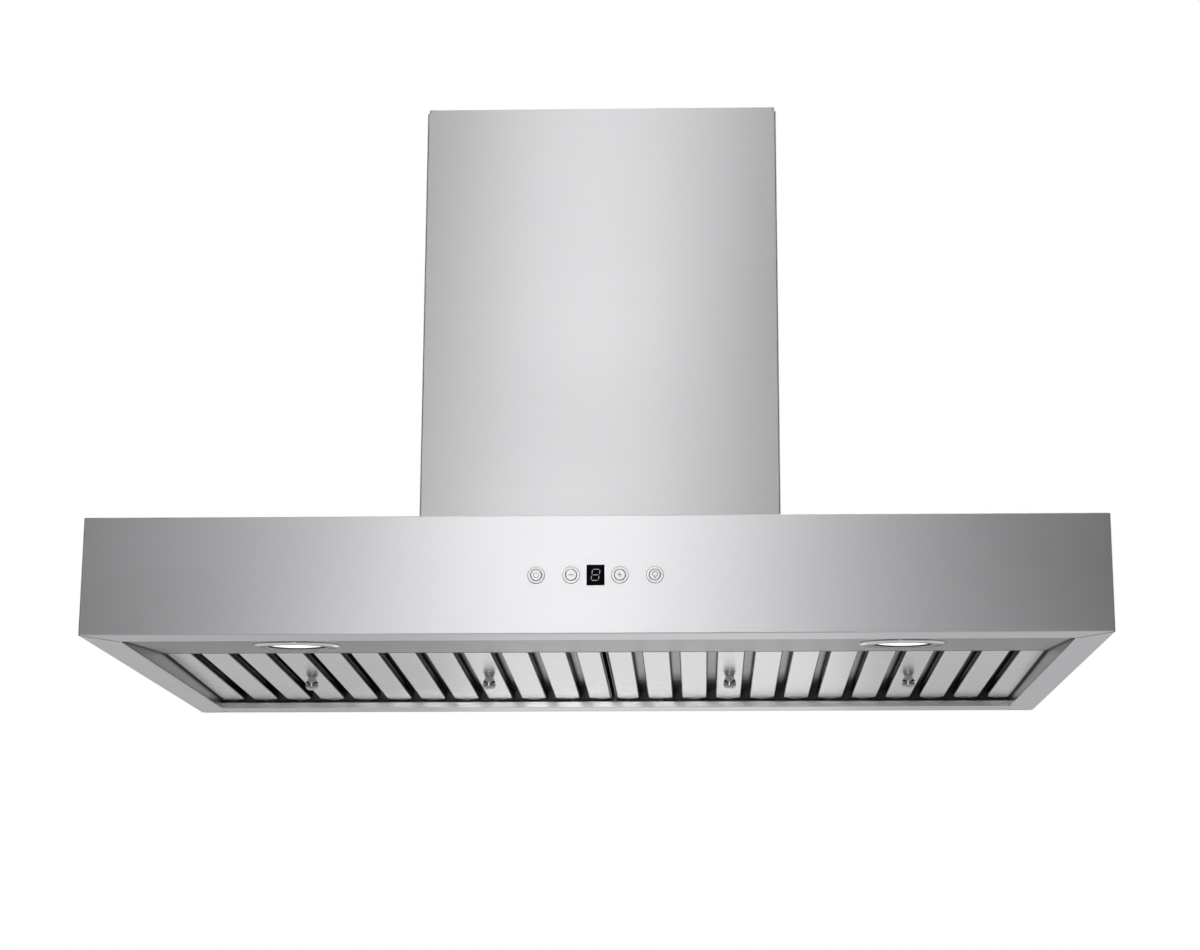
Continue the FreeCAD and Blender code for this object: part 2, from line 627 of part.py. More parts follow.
lower_posts, upper_posts, bolts, nuts = [], [], [], []
corners = [(sx, sy) for sx in (-1, 1) for sy in (-1, 1)]
for number, (sx, sy) in enumerate(corners):
    x, y = sx * post_x, sy * post_y
    post = corner_post(f"lower_angle_{number}", x, y, sx, sy, leg, lower_z, dim("lower_post_top"))
    foot = block(f"foot_{number}", leg - 3, leg - 3, dim("plate_thick"), x - sx * (leg - 3) / 2,
                 y - sy * (leg - 3) / 2, height)
    slot_x = x - sx * (wall + 13)
    slot_tall = dim("slot_high") - dim("slot_low")
    slot = block(f"slot_{number}", dim("slot_half") * 2, wall * 4, slot_tall, slot_x, y, dim("slot_low"))
    lower_posts.append(cut(f"lower_post_{number}", fuse(f"footed_post_{number}", post, foot), slot))
    x2, y2 = x - sx * (wall + gap), y - sy * (wall + gap)
    post = corner_post(f"upper_angle_{number}", x2, y2, sx, sy, leg2, dim("upper_bottom"),
                       ceiling - dim("plate_thick"))
    inner_face = y2 - sy * wall
    toward = "Y" if sy < 0 else "-Y"
    holes = []
    for step in (0, 1):
        label = f"{number}_{step}"
        level = dim("first_bolt") + step * dim("bolt_step")
        holes.append(rod(f"bolt_hole_{label}", dim("bolt_radius") + 0.2, 30, slot_x, y - 15, level, "Y"))
        head = rod(f"bolt_head_{label}", 5.2, 3.5, slot_x, y + sy * 3.8, level, toward)
        shank = rod(f"bolt_shank_{label}", dim("bolt_radius"), 14, slot_x, y + sy * 3.8, level, toward)
        bolts.append(fuse(f"bolt_{label}", head, shank))
        nut = rod(f"nut_blank_{label}", 5.2, 4, slot_x, inner_face, level, toward)
        bore = rod(f"nut_bore_{label}", dim("bolt_radius"), 30, slot_x, y - 15, level, "Y")
        nuts.append(cut(f"nut_{label}", nut, bore))
    upper_posts.append(cut(f"upper_post_{number}", post, *holes))

keep("hood", group("lower_posts", *lower_posts))
keep("ceiling_frame", group("upper_posts", *upper_posts))
keep("ceiling_frame", group("frame_bolts", *bolts))
keep("ceiling_frame", group("frame_nuts", *nuts))


def ceiling_plate():
    """The frame that is screwed to the ceiling, with a welded angle on each side for the upper cover."""
    body = doc.addObject("PartDesign::Body", "ceiling_ring")
    outline = new_sketch(body, "XY_Plane")
    draw_outline(outline, centred(upper_wide - skin * 2 - 1, upper_deep - skin * 2 - 1))
    draw_outline(outline, centred(dim("opening_width"), dim("opening_depth")))
    for sx, sy in corners:
        draw_circle(outline, dim("ceiling_hole"), sx * dim("bolt_span_x") / 2, sy * dim("bolt_span_y") / 2)
    pad(body, outline, dim("plate_thick"))
    place(body, z=ceiling - dim("plate_thick"))
    return fuse("ceiling_plate", body, *brackets)


brackets = []
for number, (sx, sy) in enumerate([(-1, 0), (1, 0), (0, -1), (0, 1)]):
    x, y = sx * (upper_wide / 2 - skin), sy * (upper_deep / 2 - skin)
    under = ceiling - dim("plate_thick")
    leaf = (1.5, 40) if sx else (40, 1.5)
    shelf = (16, 40) if sx else (40, 16)
    upright = block(f"bracket_leaf_{number}", *leaf, 26, x - sx * 0.75, y - sy * 0.75, under - 26)
    flat = block(f"bracket_shelf_{number}", *shelf, 1.5, x - sx * 8, y - sy * 8, under - 1.5)
    brackets.append(fuse(f"bracket_{number}", upright, flat))
keep("ceiling_frame", ceiling_plate())


# ---------------------------------------------------------------- blower
# A steel box on the canopy's top holds a double-inlet centrifugal blower. Air comes up through the
# intake, enters the wheel from both sides and leaves through the collar.

box_w, box_d, box_h = dim("box_width"), dim("box_depth"), dim("box_height")
axis_z = dim("blower_axis")
box_top = height + box_h


def blower_box():
    outer = block("box_outer", box_w, box_d, box_h, z=height)
    flange = block("box_flange", box_w + 22, box_d + 14, skin, z=height)
    inside = block("box_inside", box_w - skin * 2, box_d - skin * 2, box_h - skin + 5, z=height - 5)
    outlet = rod("box_outlet", dim("collar_radius") - dim("collar_wall"), 20, z=box_top - 10)
    return cut("blower_box", fuse("box_blank", outer, flange), inside, outlet)


keep("hood", blower_box())


def scroll_housing():
    """The snail: a round case with a square throat up to the box's top, open at both inlets."""
    width, radius, wall = dim("scroll_width"), dim("scroll_radius"), 1.5
    throat = 2 * dim("collar_radius")
    rise = box_top - skin - axis_z
    around = rod("scroll_round", radius, width, -width / 2, 0, axis_z, "X")
    square = block("scroll_throat", width, throat, rise, z=axis_z)
    hollow_round = rod("scroll_round_inside", radius - wall, width - 2 * wall, wall - width / 2, 0, axis_z, "X")
    hollow_square = block("scroll_throat_inside", width - 2 * wall, throat - 2 * wall, rise + 5, z=axis_z)
    inlet = rod("scroll_inlet", dim("inlet_radius"), width + 10, -width / 2 - 5, 0, axis_z, "X")
    return cut("scroll_housing", fuse("scroll_blank", around, square), hollow_round, hollow_square, inlet)


keep("hood", scroll_housing())

inlet_ring = turned("inlet_ring", [
    (dim("inlet_radius") - 6, -6), (dim("inlet_radius") - 2, -1.5), (dim("inlet_radius") + 9, -1.5),
    (dim("inlet_radius") + 9, 0), (dim("inlet_radius") - 3, 0), (dim("inlet_radius") - 7.5, -6),
])
half_scroll = DIMENSIONS["scroll_width"] / 2
keep("hood", copies("inlet_rings", [inlet_ring], [[
    at(half_scroll + 1.5, 0, axis_z, Rotation(Vector(0, 1, 0), 90)),
    at(-half_scroll - 1.5, 0, axis_z, Rotation(Vector(0, 1, 0), -90)),
]]))


def impeller():
    """Thirty forward-curved blades on a middle plate, with a ring at each end, turning about X."""
    radius, width = DIMENSIONS["impeller_radius"], DIMENSIONS["impeller_width"]
    inner, thickness, count = radius - 13, 1.2, 30
    outer_arc = Part.Arc(Vector(inner, 0, 0), Vector(inner + 7, 2.6, 0), Vector(radius - 0.5, 8.5, 0))
    offset = Vector(0, thickness, 0)
    inner_arc = Part.Arc(Vector(radius - 0.5, 8.5, 0) + offset, Vector(inner + 7, 2.6, 0) + offset,
                         Vector(inner, 0, 0) + offset)
    ends = [Part.LineSegment(outer_arc.EndPoint, inner_arc.StartPoint),
            Part.LineSegment(inner_arc.EndPoint, outer_arc.StartPoint)]
    edges = [outer_arc.toShape(), ends[0].toShape(), inner_arc.toShape(), ends[1].toShape()]
    blade = Part.Face(Part.Wire(edges)).extrude(Vector(0, 0, width))
    blade.translate(Vector(0, 0, -width / 2))
    middle, turn = Vector(), Vector(0, 0, 1)
    pieces = []
    for i in range(count):
        copy = blade.copy()
        copy.rotate(middle, turn, 360 / count * i)
        pieces.append(copy)
    plate = Part.makeCylinder(radius + 1, 2, Vector(0, 0, -1))
    boss = Part.makeCylinder(11, 22, Vector(0, 0, -1))
    bore = Part.makeCylinder(DIMENSIONS["shaft_radius"] + 0.05, 60, Vector(0, 0, -30))
    for end in (-width / 2, width / 2 - 2):
        rim = Part.makeCylinder(radius + 1, 2, Vector(0, 0, end))
        pieces.append(rim.cut(Part.makeCylinder(inner - 1, 2, Vector(0, 0, end))))
    wheel = plate.multiFuse([boss, *pieces]).cut(bore).removeSplitter()
    item = doc.addObject("Part::Feature", "impeller")
    item.Shape = wheel
    return place(item, z=axis_z, rotation=Rotation(Vector(0, 1, 0), 90))


keep("impeller", impeller())
keep("impeller", rod("motor_shaft", dim("shaft_radius"), 92, -64, 0, axis_z, "X"))
motor = fuse("motor_case", rod("motor_barrel", dim("motor_radius"), 56, -78, 0, axis_z, "X"),
             rod("motor_nose", 14, 8, -22, 0, axis_z, "X"))
keep("hood", cut("motor_body", motor, rod("motor_bore", dim("shaft_radius") + 0.06, 56, -65, 0, axis_z, "X")))


def motor_spider():
    """A plate behind the motor with three arms, whose feet stand on the scroll around the inlet."""
    pieces = [rod("spider_plate", dim("motor_radius") - 6, 6.5, -84.5, 0, axis_z, "X")]
    for number, turn in enumerate((90, 210, 330)):
        spin = Rotation(Vector(1, 0, 0), turn)
        corner, foot = spin.multVec(Vector(-84.5, -6, 0)), spin.multVec(Vector(-84.5, 0, 86))
        arm = doc.addObject("Part::Box", f"spider_arm_{number}")
        bind(arm, Length=3, Width=12, Height=86)
        pieces.append(place(arm, corner.x, corner.y, axis_z + corner.z, spin))
        pieces.append(rod(f"spider_foot_{number}", 7, 4.5, -84.5, foot.y, axis_z + foot.z, "X"))
    return fuse("motor_spider", *pieces)


keep("hood", motor_spider())


def duct_collar():
    """The round spigot for the duct, with a ledge inside that stops the damper flaps."""
    r, wall, tall = dim("collar_radius"), dim("collar_wall"), dim("collar_height")
    stop = dim("pin_height")
    body = turned("duct_spigot", [
        (r - wall, 0), (r, 0), (r, tall - 1.5), (r - 0.8, tall), (r - wall, tall),
        (r - wall, stop - 1.1), (r - wall - 3, stop - 1.1), (r - wall - 3, stop - 3), (r - wall, stop - 4.5),
    ])
    place(body, z=box_top)
    flange = cut("collar_flange", block("collar_base", 190, 190, 2, z=box_top),
                 rod("collar_mouth", r - wall, 10, z=box_top - 5))
    pin_hole = rod("pin_hole", dim("pin_radius"), 200, y=-100, z=box_top + stop, along="Y")
    return cut("duct_collar", fuse("collar_blank", body, flange), pin_hole)


keep("hood", duct_collar())
pin_z = box_top + dim("pin_height")
pin_long = 2 * dim("collar_radius") - 1.6
keep("hood", rod("damper_pin", dim("pin_radius"), pin_long, 0, -pin_long / 2, pin_z, "Y"))


def damper_flap(name, side):
    """A half disc with two knuckles on the pin. It lies on the ledge and lifts in the air stream."""
    r, thickness = dim("flap_radius"), dim("flap_thick")
    disc = rod(f"flap_disc_{name}", r, thickness, z=pin_z - thickness / 2)
    keep_side = block(f"flap_half_{name}", r, 2 * r, 10, side * (r / 2 + 3.6), 0, pin_z - 5)
    plate = doc.addObject("Part::Common", f"flap_plate_{name}")
    plate.Base, plate.Tool = disc, keep_side
    pieces = [plate]
    starts = (-46, 14) if side < 0 else (-14 - 12, 34)
    for number, start in enumerate(starts):
        pieces.append(rod(f"knuckle_{name}_{number}", 3, 12, 0, start, pin_z, "Y"))
        pieces.append(block(f"tab_{name}_{number}", 5, 12, thickness, side * 3.5, start + 6,
                            pin_z - thickness / 2))
    bore = rod(f"knuckle_bore_{name}", dim("pin_radius") + 0.08, 160, 0, -80, pin_z, "Y")
    return cut(f"damper_flap_{name}", fuse(f"flap_blank_{name}", *pieces), bore)


keep("damper_left", damper_flap("left", -1))
keep("damper_right", damper_flap("right", 1))


# ---------------------------------------------------------------- power box
# The mains wiring box hangs on the blower box, inside the chimney, with its gland on top.

power_x = box_w / 2 + 13
case = cut("power_box",
           block("power_outer", 26, 150, 90, power_x, 0, 150),
           block("power_inner", 25, 147, 87, power_x + 1.5, 0, 151.5),
           rod("gland_hole", 6, 10, power_x, 40, 235))
keep("hood", case)
keep("hood", block("power_box_lid", 1, 150, 90, power_x + 13.5, 0, 150))
keep("hood", block("power_supply", 18, 80, 50, power_x, -25, 151.5))
terminals = [block(f"terminal_{i}", 10, 9, 12, power_x - 5, 38 + (i - 1) * 10, 151.5) for i in range(3)]
keep("hood", group("terminal_blocks", *terminals))
gland = turned("cable_gland", [
    (4, -6), (5.8, -6), (5.8, 0), (9, 0), (9, 4), (7.5, 5), (7.5, 14), (6, 16), (4, 16),
])
keep("hood", place(gland, power_x, 40, 240))

# Screws that a person would undo: those of the box's flange, the power box's lid and the lower cover.
flange_spots = [(sx * 131, y) for sx in (-1, 1) for y in (-80, 0, 80)]
flange_top = height + skin
flange_screw = turned("flange_screw", [(0, 0), (3.6, 0), (3.6, 1.2), (2.4, 2.2), (0, 2.2)])
keep("hood", copies("blower_box_screws", [flange_screw], [[
    at(x, y, flange_top) for x, y in flange_spots]]))
sideways = {-1: Rotation(Vector(0, 1, 0), -90), 1: Rotation(Vector(0, 1, 0), 90)}
cover_spots = [(side, y) for side in (-1, 1) for y in (-20, 20)]
cover_screw = turned("cover_screw", [(0, 0), (3.2, 0), (2.6, 0.9), (1.2, 1.4), (0, 1.4)])
keep("hood", copies("chimney_screws", [cover_screw], [[
    at(side * wide / 2, y, height + 6, sideways[side]) for side, y in cover_spots]]))


# ---------------------------------------------------------------- check and write

doc.recompute()
for item in doc.Objects:
    bad = [s for s in item.State if s in ("Invalid", "Error")]
    assert not bad, f"{item.Label} is {bad}"

os.makedirs("parts", exist_ok=True)
for old in os.listdir("parts"):
    os.remove(os.path.join("parts", old))
count = 0
for body_name, items in bodies.items():
    for item in items:
        shape = item.Shape
        assert not shape.isNull() and shape.isValid() and shape.Solids, f"{item.Label} has no good shape"
        shape.exportStep(os.path.join("parts", f"{item.Label}.step"))
        box = shape.BoundBox
        print(f"{body_name:16} {item.Label:22} solids {len(shape.Solids):3}  volume {shape.Volume / 1000:9.2f} cm3"
              f"  z {box.ZMin + DIMENSIONS['drop']:7.1f} to {box.ZMax + DIMENSIONS['drop']:7.1f}")
        count += 1
print(count, "nodes")
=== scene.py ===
import bmesh
import bpy
import math
from mathutils import Matrix, Vector


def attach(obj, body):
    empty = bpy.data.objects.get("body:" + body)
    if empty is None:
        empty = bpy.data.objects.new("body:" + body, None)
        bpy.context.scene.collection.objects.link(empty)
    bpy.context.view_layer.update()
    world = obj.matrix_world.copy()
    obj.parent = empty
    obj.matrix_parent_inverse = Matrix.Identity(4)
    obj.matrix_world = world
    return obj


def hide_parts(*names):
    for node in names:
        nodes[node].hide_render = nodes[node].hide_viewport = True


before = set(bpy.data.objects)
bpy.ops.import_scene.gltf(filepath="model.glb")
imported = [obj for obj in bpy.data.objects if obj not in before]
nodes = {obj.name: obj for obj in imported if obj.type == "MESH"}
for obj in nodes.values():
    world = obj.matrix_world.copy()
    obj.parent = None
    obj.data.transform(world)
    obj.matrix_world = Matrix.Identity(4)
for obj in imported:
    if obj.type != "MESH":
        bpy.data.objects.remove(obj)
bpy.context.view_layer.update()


# ---- Canopy shell -------------------------------------------------------------------------------
# The canopy is one welded skin of 1 mm stainless steel, brushed along its length. Its walls fold in at
# the bottom to make a rim, mitred at the corners, and the top has the opening for the blower's intake.

DROP = 0.534
CANOPY_WIDE, CANOPY_DEEP, CANOPY_TALL = 0.914, 0.508, 0.107
SIDE_RIM, FRONT_RIM, REAR_LIP = 0.029, 0.034, 0.008
FRONT, BACK = -CANOPY_DEEP / 2, CANOPY_DEEP / 2
SHEET = 0.001
BEND = 0.0016
MOUTH_X = CANOPY_WIDE / 2 - SIDE_RIM
INTAKE_X, INTAKE_Y = 0.115, 0.1
GROOVE_HALF, GROOVE_DEEP = 0.0009, 0.0004
TOUCH, NEAR = 1e-6, 1e-5
BUTTONS = {"power": -0.0516, "minus": -0.0206, "plus": 0.0226, "light": 0.0536}
PANEL_X, PANEL_Z = 0.001, 0.0525 - DROP


def new_piece(name, add, **sizes):
    """Adds a primitive with nothing else selected, and puts its place and size in its mesh."""
    if bpy.context.object and bpy.context.object.mode == "EDIT":
        bpy.ops.object.mode_set(mode="OBJECT")
    bpy.ops.object.select_all(action="DESELECT")
    scale = sizes.pop("scale", None)
    add(**sizes)
    piece = bpy.context.object
    piece.name = piece.data.name = name
    if scale:
        piece.scale = scale
    settle(piece)
    return piece


def only(piece):
    bpy.ops.object.select_all(action="DESELECT")
    piece.select_set(True)
    bpy.context.view_layer.objects.active = piece


def settle(piece):
    """Puts the object's place, turn and scale into its mesh."""
    only(piece)
    bpy.ops.object.transform_apply(location=True, rotation=True, scale=True)


def pick(piece, kind, chosen=lambda item: True):
    """In edit mode, selects the faces, edges or vertices that chosen names, and no others."""
    bpy.ops.mesh.select_mode(type=kind)
    bpy.ops.mesh.select_all(action="DESELECT")
    mesh = bmesh.from_edit_mesh(piece.data)
    mesh.normal_update()
    items = {"FACE": mesh.faces, "EDGE": mesh.edges, "VERT": mesh.verts}[kind]
    for item in items:
        if chosen(item):
            item.select_set(True)
    bmesh.update_edit_mesh(piece.data)


def slice_all(piece, point, normal, chosen=lambda face: True, **sides):
    pick(piece, "FACE", chosen)
    bpy.ops.mesh.bisect(plane_co=point, plane_no=normal, **sides)


def apply(piece, kind, **settings):
    only(piece)
    modifier = piece.modifiers.new(kind.title(), kind)
    for key, value in settings.items():
        setattr(modifier, key, value)
    bpy.ops.object.modifier_apply(modifier=modifier.name)


def soften(piece, angle=35):
    """Smooth shading across bends, with flat faces kept flat."""
    only(piece)
    bpy.ops.object.shade_smooth_by_angle(angle=math.radians(angle))
    apply(piece, "WEIGHTED_NORMAL", weight=100, keep_sharp=True)


def face_middle(face):
    return face.calc_center_median()


canopy = new_piece("canopy", bpy.ops.mesh.primitive_cube_add, size=1,
                   location=(0, 0, CANOPY_TALL / 2 - DROP), scale=(CANOPY_WIDE, CANOPY_DEEP, CANOPY_TALL))
bpy.ops.object.mode_set(mode="EDIT")
for x in (-MOUTH_X, -INTAKE_X, INTAKE_X, MOUTH_X):
    slice_all(canopy, (x, 0, 0), (1, 0, 0))
for y in (FRONT + FRONT_RIM, -INTAKE_Y, INTAKE_Y, BACK - REAR_LIP):
    slice_all(canopy, (0, y, 0), (0, 1, 0))


def in_mouth(face):
    m = face_middle(face)
    return face.normal.z < -0.9 and abs(m.x) < MOUTH_X and FRONT + FRONT_RIM < m.y < BACK - REAR_LIP


def in_intake(face):
    m = face_middle(face)
    return face.normal.z > 0.9 and abs(m.x) < INTAKE_X and abs(m.y) < INTAKE_Y


pick(canopy, "FACE", lambda face: in_mouth(face) or in_intake(face))
bpy.ops.mesh.delete(type="FACE")

# The mitre seams of the rim are fine grooves where the weld was ground flat.
for side in (-1, 1):
    for corner_y, rim, way in ((FRONT, FRONT_RIM, 1), (BACK, REAR_LIP, -1)):
        across = Vector((way * rim, side * SIDE_RIM, 0)).normalized()
        corner = Vector((side * CANOPY_WIDE / 2, corner_y, 0))
        near = lambda face, s=side, y=corner_y, r=rim: (
            face.normal.z < -0.9 and s * face_middle(face).x > MOUTH_X and abs(face_middle(face).y - y) < r)
        for offset in (-GROOVE_HALF, 0, GROOVE_HALF):
            slice_all(canopy, corner + across * offset, across, near)
        pick(canopy, "EDGE", lambda edge, c=corner, a=across, y=corner_y, r=rim, s=side: all(
            abs((v.co - c).dot(a)) < NEAR and v.co.z < TOUCH - DROP and abs(v.co.y - y) < r + NEAR
            and s * v.co.x > MOUTH_X - NEAR for v in edge.verts))
        bpy.ops.transform.translate(value=(0, 0, GROOVE_DEEP))
bpy.ops.object.mode_set(mode="OBJECT")
apply(canopy, "BEVEL", width=BEND, segments=4, limit_method="ANGLE", angle_limit=math.radians(50))
apply(canopy, "SOLIDIFY", thickness=SHEET, offset=-1)

# Punched holes for the four buttons and the display.
punch = new_piece("punch", bpy.ops.mesh.primitive_cube_add, size=1, location=(PANEL_X, FRONT, PANEL_Z),
                  scale=(0.0139, 0.01, 0.0165))
for x in BUTTONS.values():
    bit = new_piece("bit", bpy.ops.mesh.primitive_cylinder_add, vertices=48, radius=0.0066, depth=0.01,
                    location=(x, FRONT, PANEL_Z), rotation=(math.pi / 2, 0, 0))
    punch.select_set(True)
    bpy.context.view_layer.objects.active = punch
    bpy.ops.object.join()
apply(canopy, "BOOLEAN", object=punch, operation="DIFFERENCE", solver="EXACT")
bpy.data.objects.remove(punch)
soften(canopy)


def shader(name, colour, metal, rough, **more):
    """A material with one Principled shader, whose even values sit on its own sockets."""
    material = bpy.data.materials.new(name)
    material.use_nodes = True
    tree = material.node_tree
    principled = tree.nodes["Principled BSDF"]
    principled.inputs["Base Color"].default_value = (*colour, 1)
    principled.inputs["Metallic"].default_value = metal
    principled.inputs["Roughness"].default_value = rough
    for socket, value in more.items():
        principled.inputs[socket.replace("_", " ")].default_value = value
    material.diffuse_color = (*colour, 1)
    return material, tree, principled


def pattern(tree, kind, scale, out=None, **settings):
    """A texture on Object coordinates, stretched by scale. Gives the socket named out, or the first."""
    place = tree.nodes.new("ShaderNodeTexCoord")
    mapping = tree.nodes.new("ShaderNodeMapping")
    texture = tree.nodes.new(kind)
    mapping.inputs["Scale"].default_value = scale
    tree.links.new(place.outputs["Object"], mapping.inputs["Vector"])
    tree.links.new(mapping.outputs["Vector"], texture.inputs["Vector"])
    for key, value in settings.items():
        if hasattr(texture, key):
            setattr(texture, key, value)
        else:
            texture.inputs[key].default_value = value
    return texture.outputs[out] if out else texture.outputs[0]


def spread(tree, value, low, high, start=0.3, end=0.7):
    """Maps a texture's value to a range."""
    span = tree.nodes.new("ShaderNodeMapRange")
    for name, number in (("From Min", start), ("From Max", end), ("To Min", low), ("To Max", high)):
        span.inputs[name].default_value = number
    tree.links.new(value, span.inputs["Value"])
    return span.outputs["Result"]


def tint(tree, value, low, high, start=0.3, end=0.7):
    """Maps a texture's value to a colour between low and high."""
    ramp = tree.nodes.new("ShaderNodeValToRGB")
    ramp.color_ramp.elements[0].position, ramp.color_ramp.elements[1].position = start, end
    ramp.color_ramp.elements[0].color, ramp.color_ramp.elements[1].color = (*low, 1), (*high, 1)
    tree.links.new(value, ramp.inputs["Fac"])
    return ramp.outputs["Color"]


def dent(tree, principled, value, strength, distance):
    bump = tree.nodes.new("ShaderNodeBump")
    bump.inputs["Strength"].default_value = strength
    bump.inputs["Distance"].default_value = distance
    tree.links.new(value, bump.inputs["Height"])
    tree.links.new(bump.outputs["Normal"], principled.inputs["Normal"])


def blend_by(tree, factor, first, second):
    mix = tree.nodes.new("ShaderNodeMix")
    tree.links.new(factor, mix.inputs["Factor"])
    tree.links.new(first, mix.inputs["A"])
    tree.links.new(second, mix.inputs["B"])
    return mix.outputs["Result"]


def brushed(name, colour, rough, streak=1.0, shade=None):
    """Stainless sheet brushed level all round: the lines run along X, and along Y on the end faces.
    A painted shade of (output, axis, start, end, depth) darkens it where that coordinate runs from start to
    end."""
    material, tree, principled = shader(name, colour, 1, rough)
    coords = tree.nodes.new("ShaderNodeTexCoord")
    parts = tree.nodes.new("ShaderNodeSeparateXYZ")
    turned = tree.nodes.new("ShaderNodeMath")
    turned.operation = "ABSOLUTE"
    tree.links.new(coords.outputs["Normal"], parts.inputs["Vector"])
    tree.links.new(parts.outputs["X"], turned.inputs[0])
    on_end = spread(tree, turned.outputs["Value"], 0, 1, 0.6, 0.8)
    lines = blend_by(
        tree, on_end,
        pattern(tree, "ShaderNodeTexNoise", (7, 2600, 2600), Scale=1, Detail=3, Roughness=0.6),
        pattern(tree, "ShaderNodeTexNoise", (2600, 7, 2600), Scale=1, Detail=3, Roughness=0.6))
    clouds = pattern(tree, "ShaderNodeTexNoise", (2.2, 5, 5), Scale=1, Detail=2, Roughness=0.5)
    swing = 0.045 * streak
    dark = tuple(c * (1 - swing) for c in colour)
    light = tuple(min(1, c * (1 + swing)) for c in colour)
    both = tree.nodes.new("ShaderNodeMath")
    both.operation = "MULTIPLY_ADD"
    both.inputs[1].default_value = 0.6
    tree.links.new(lines, both.inputs[0])
    tree.links.new(spread(tree, clouds, 0.1, 0.3), both.inputs[2])
    tone = tint(tree, both.outputs["Value"], dark, light, 0.35, 0.65)
    if shade:
        output, axis, start, end, depth = shade
        split = tree.nodes.new("ShaderNodeSeparateXYZ")
        size = tree.nodes.new("ShaderNodeMath")
        size.operation = "ABSOLUTE"
        tree.links.new(coords.outputs[output], split.inputs["Vector"])
        tree.links.new(split.outputs[axis], size.inputs[0])
        amount = spread(tree, size.outputs["Value"], 1, 1 - depth, start, end)
        dim = tree.nodes.new("ShaderNodeVectorMath")
        dim.operation = "SCALE"
        tree.links.new(tone, dim.inputs[0])
        tree.links.new(amount, dim.inputs["Scale"])
        tone = dim.outputs["Vector"]
    tree.links.new(tone, principled.inputs["Base Color"])
    tree.links.new(spread(tree, both.outputs["Value"], rough - 0.02, rough + 0.02, 0.35, 0.65),
                   principled.inputs["Roughness"])
    dent(tree, principled, lines, 0.05 * streak, 0.0002)
    return material


def finish_with(material, *names):
    """Gives CAD nodes that keep their shape a better material."""
    for name in names:
        for place in nodes[name].material_slots:
            place.material = material


def rides(piece, body, material, slot, *replaced):
    """Puts a new piece in the frame: its material, its body and the nodes it stands for. The slot is not
    used.
    """
    piece.data.materials.clear()
    piece.data.materials.append(material)
    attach(piece, body)
    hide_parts(*replaced)


def paint_faces(piece, material, chosen):
    """Gives the faces that chosen names a further material of the same piece."""
    only(piece)
    piece.data.materials.append(material)
    piece.active_material_index = len(piece.data.materials) - 1
    bpy.ops.object.mode_set(mode="EDIT")
    pick(piece, "FACE", chosen)
    bpy.ops.object.material_slot_assign()
    bpy.ops.object.mode_set(mode="OBJECT")


canopy_steel = brushed("canopy_steel", (0.87, 0.86, 0.885), 0.378, 0.6)
rides(canopy, "hood", canopy_steel, "brushed_steel", "canopy_shell")
# The mitre grooves get a near-black steel: painted shade in the fine grooves.
seam_shade_paint, tree, principled = shader("painted_seam_shade", (0.04, 0.04, 0.04), 1, 0.6)
seam_shade_speckle = pattern(tree, "ShaderNodeTexNoise", (900, 900, 900), Scale=1, Detail=3)
tree.links.new(tint(tree, seam_shade_speckle, (0.03, 0.03, 0.03), (0.06, 0.06, 0.06)), principled.inputs["Base Color"])


def on_mitre(face):
    """The faces of the fine groove at each corner of the rim."""
    m = face_middle(face)
    near_y, rim = (FRONT, FRONT_RIM) if m.y < 0 else (BACK, REAR_LIP)
    from_corner = Vector((CANOPY_WIDE / 2 - abs(m.x), abs(m.y - near_y)))
    seam = Vector((SIDE_RIM, rim)).normalized()
    off = abs(from_corner.x * seam.y - from_corner.y * seam.x)
    return (face.normal.z < -0.5 and m.z < 0.0008 - DROP and off < GROOVE_HALF
            and from_corner.x < SIDE_RIM and from_corner.y < rim)


# Painted shade: the groove faces at the rim's corners turn near-black.
paint_faces(canopy, seam_shade_paint, on_mitre)


# ---- Side liners and light panel ----------------------------------------------------------------
# The liners stand on the side rims, and the light panel slopes up from the front rim to the filters.
# All are bent from satin stainless sheet and spot-welded inside the canopy.

# The liners darken towards the rim, darkest in their lowest 1.2 mm: a painted shadow line where they stand
# on it.
liner_steel = brushed("liner_steel", (0.42, 0.42, 0.42), 0.34, 1.0,
                      ("Object", "Z", DROP - 0.0024, DROP - 0.0012, 0.85))
# The light panel darkens over its last few millimetres at each end: a painted shadow line where it meets
# the liners.
panel_steel = brushed("panel_steel", (0.54, 0.54, 0.55), 0.34, 1.0,
                      ("Object", "X", MOUTH_X - 0.0042, MOUTH_X - 0.0026, 0.96))
finish_with(liner_steel, "side_liner_left", "side_liner_right")
finish_with(panel_steel, "light_panel")


# ---- Lamps --------------------------------------------------------------------------------------
# Each lamp is pushed up through a hole in the light panel and held by two leaf springs. A polished trim
# ring surrounds a frosted lens, and a finned aluminium body stands above.

SIDES = (("left", -1), ("right", 1))
LAMP_IN = 0.091
LAMP_X, LAMP_Y = 0.279, FRONT + LAMP_IN
PANEL_SLOPE = math.atan2(0.014, 0.157)
LAMP_Z = SHEET + (LAMP_IN - FRONT_RIM) * math.tan(PANEL_SLOPE) - DROP
SHADE_REACH = 0.0276


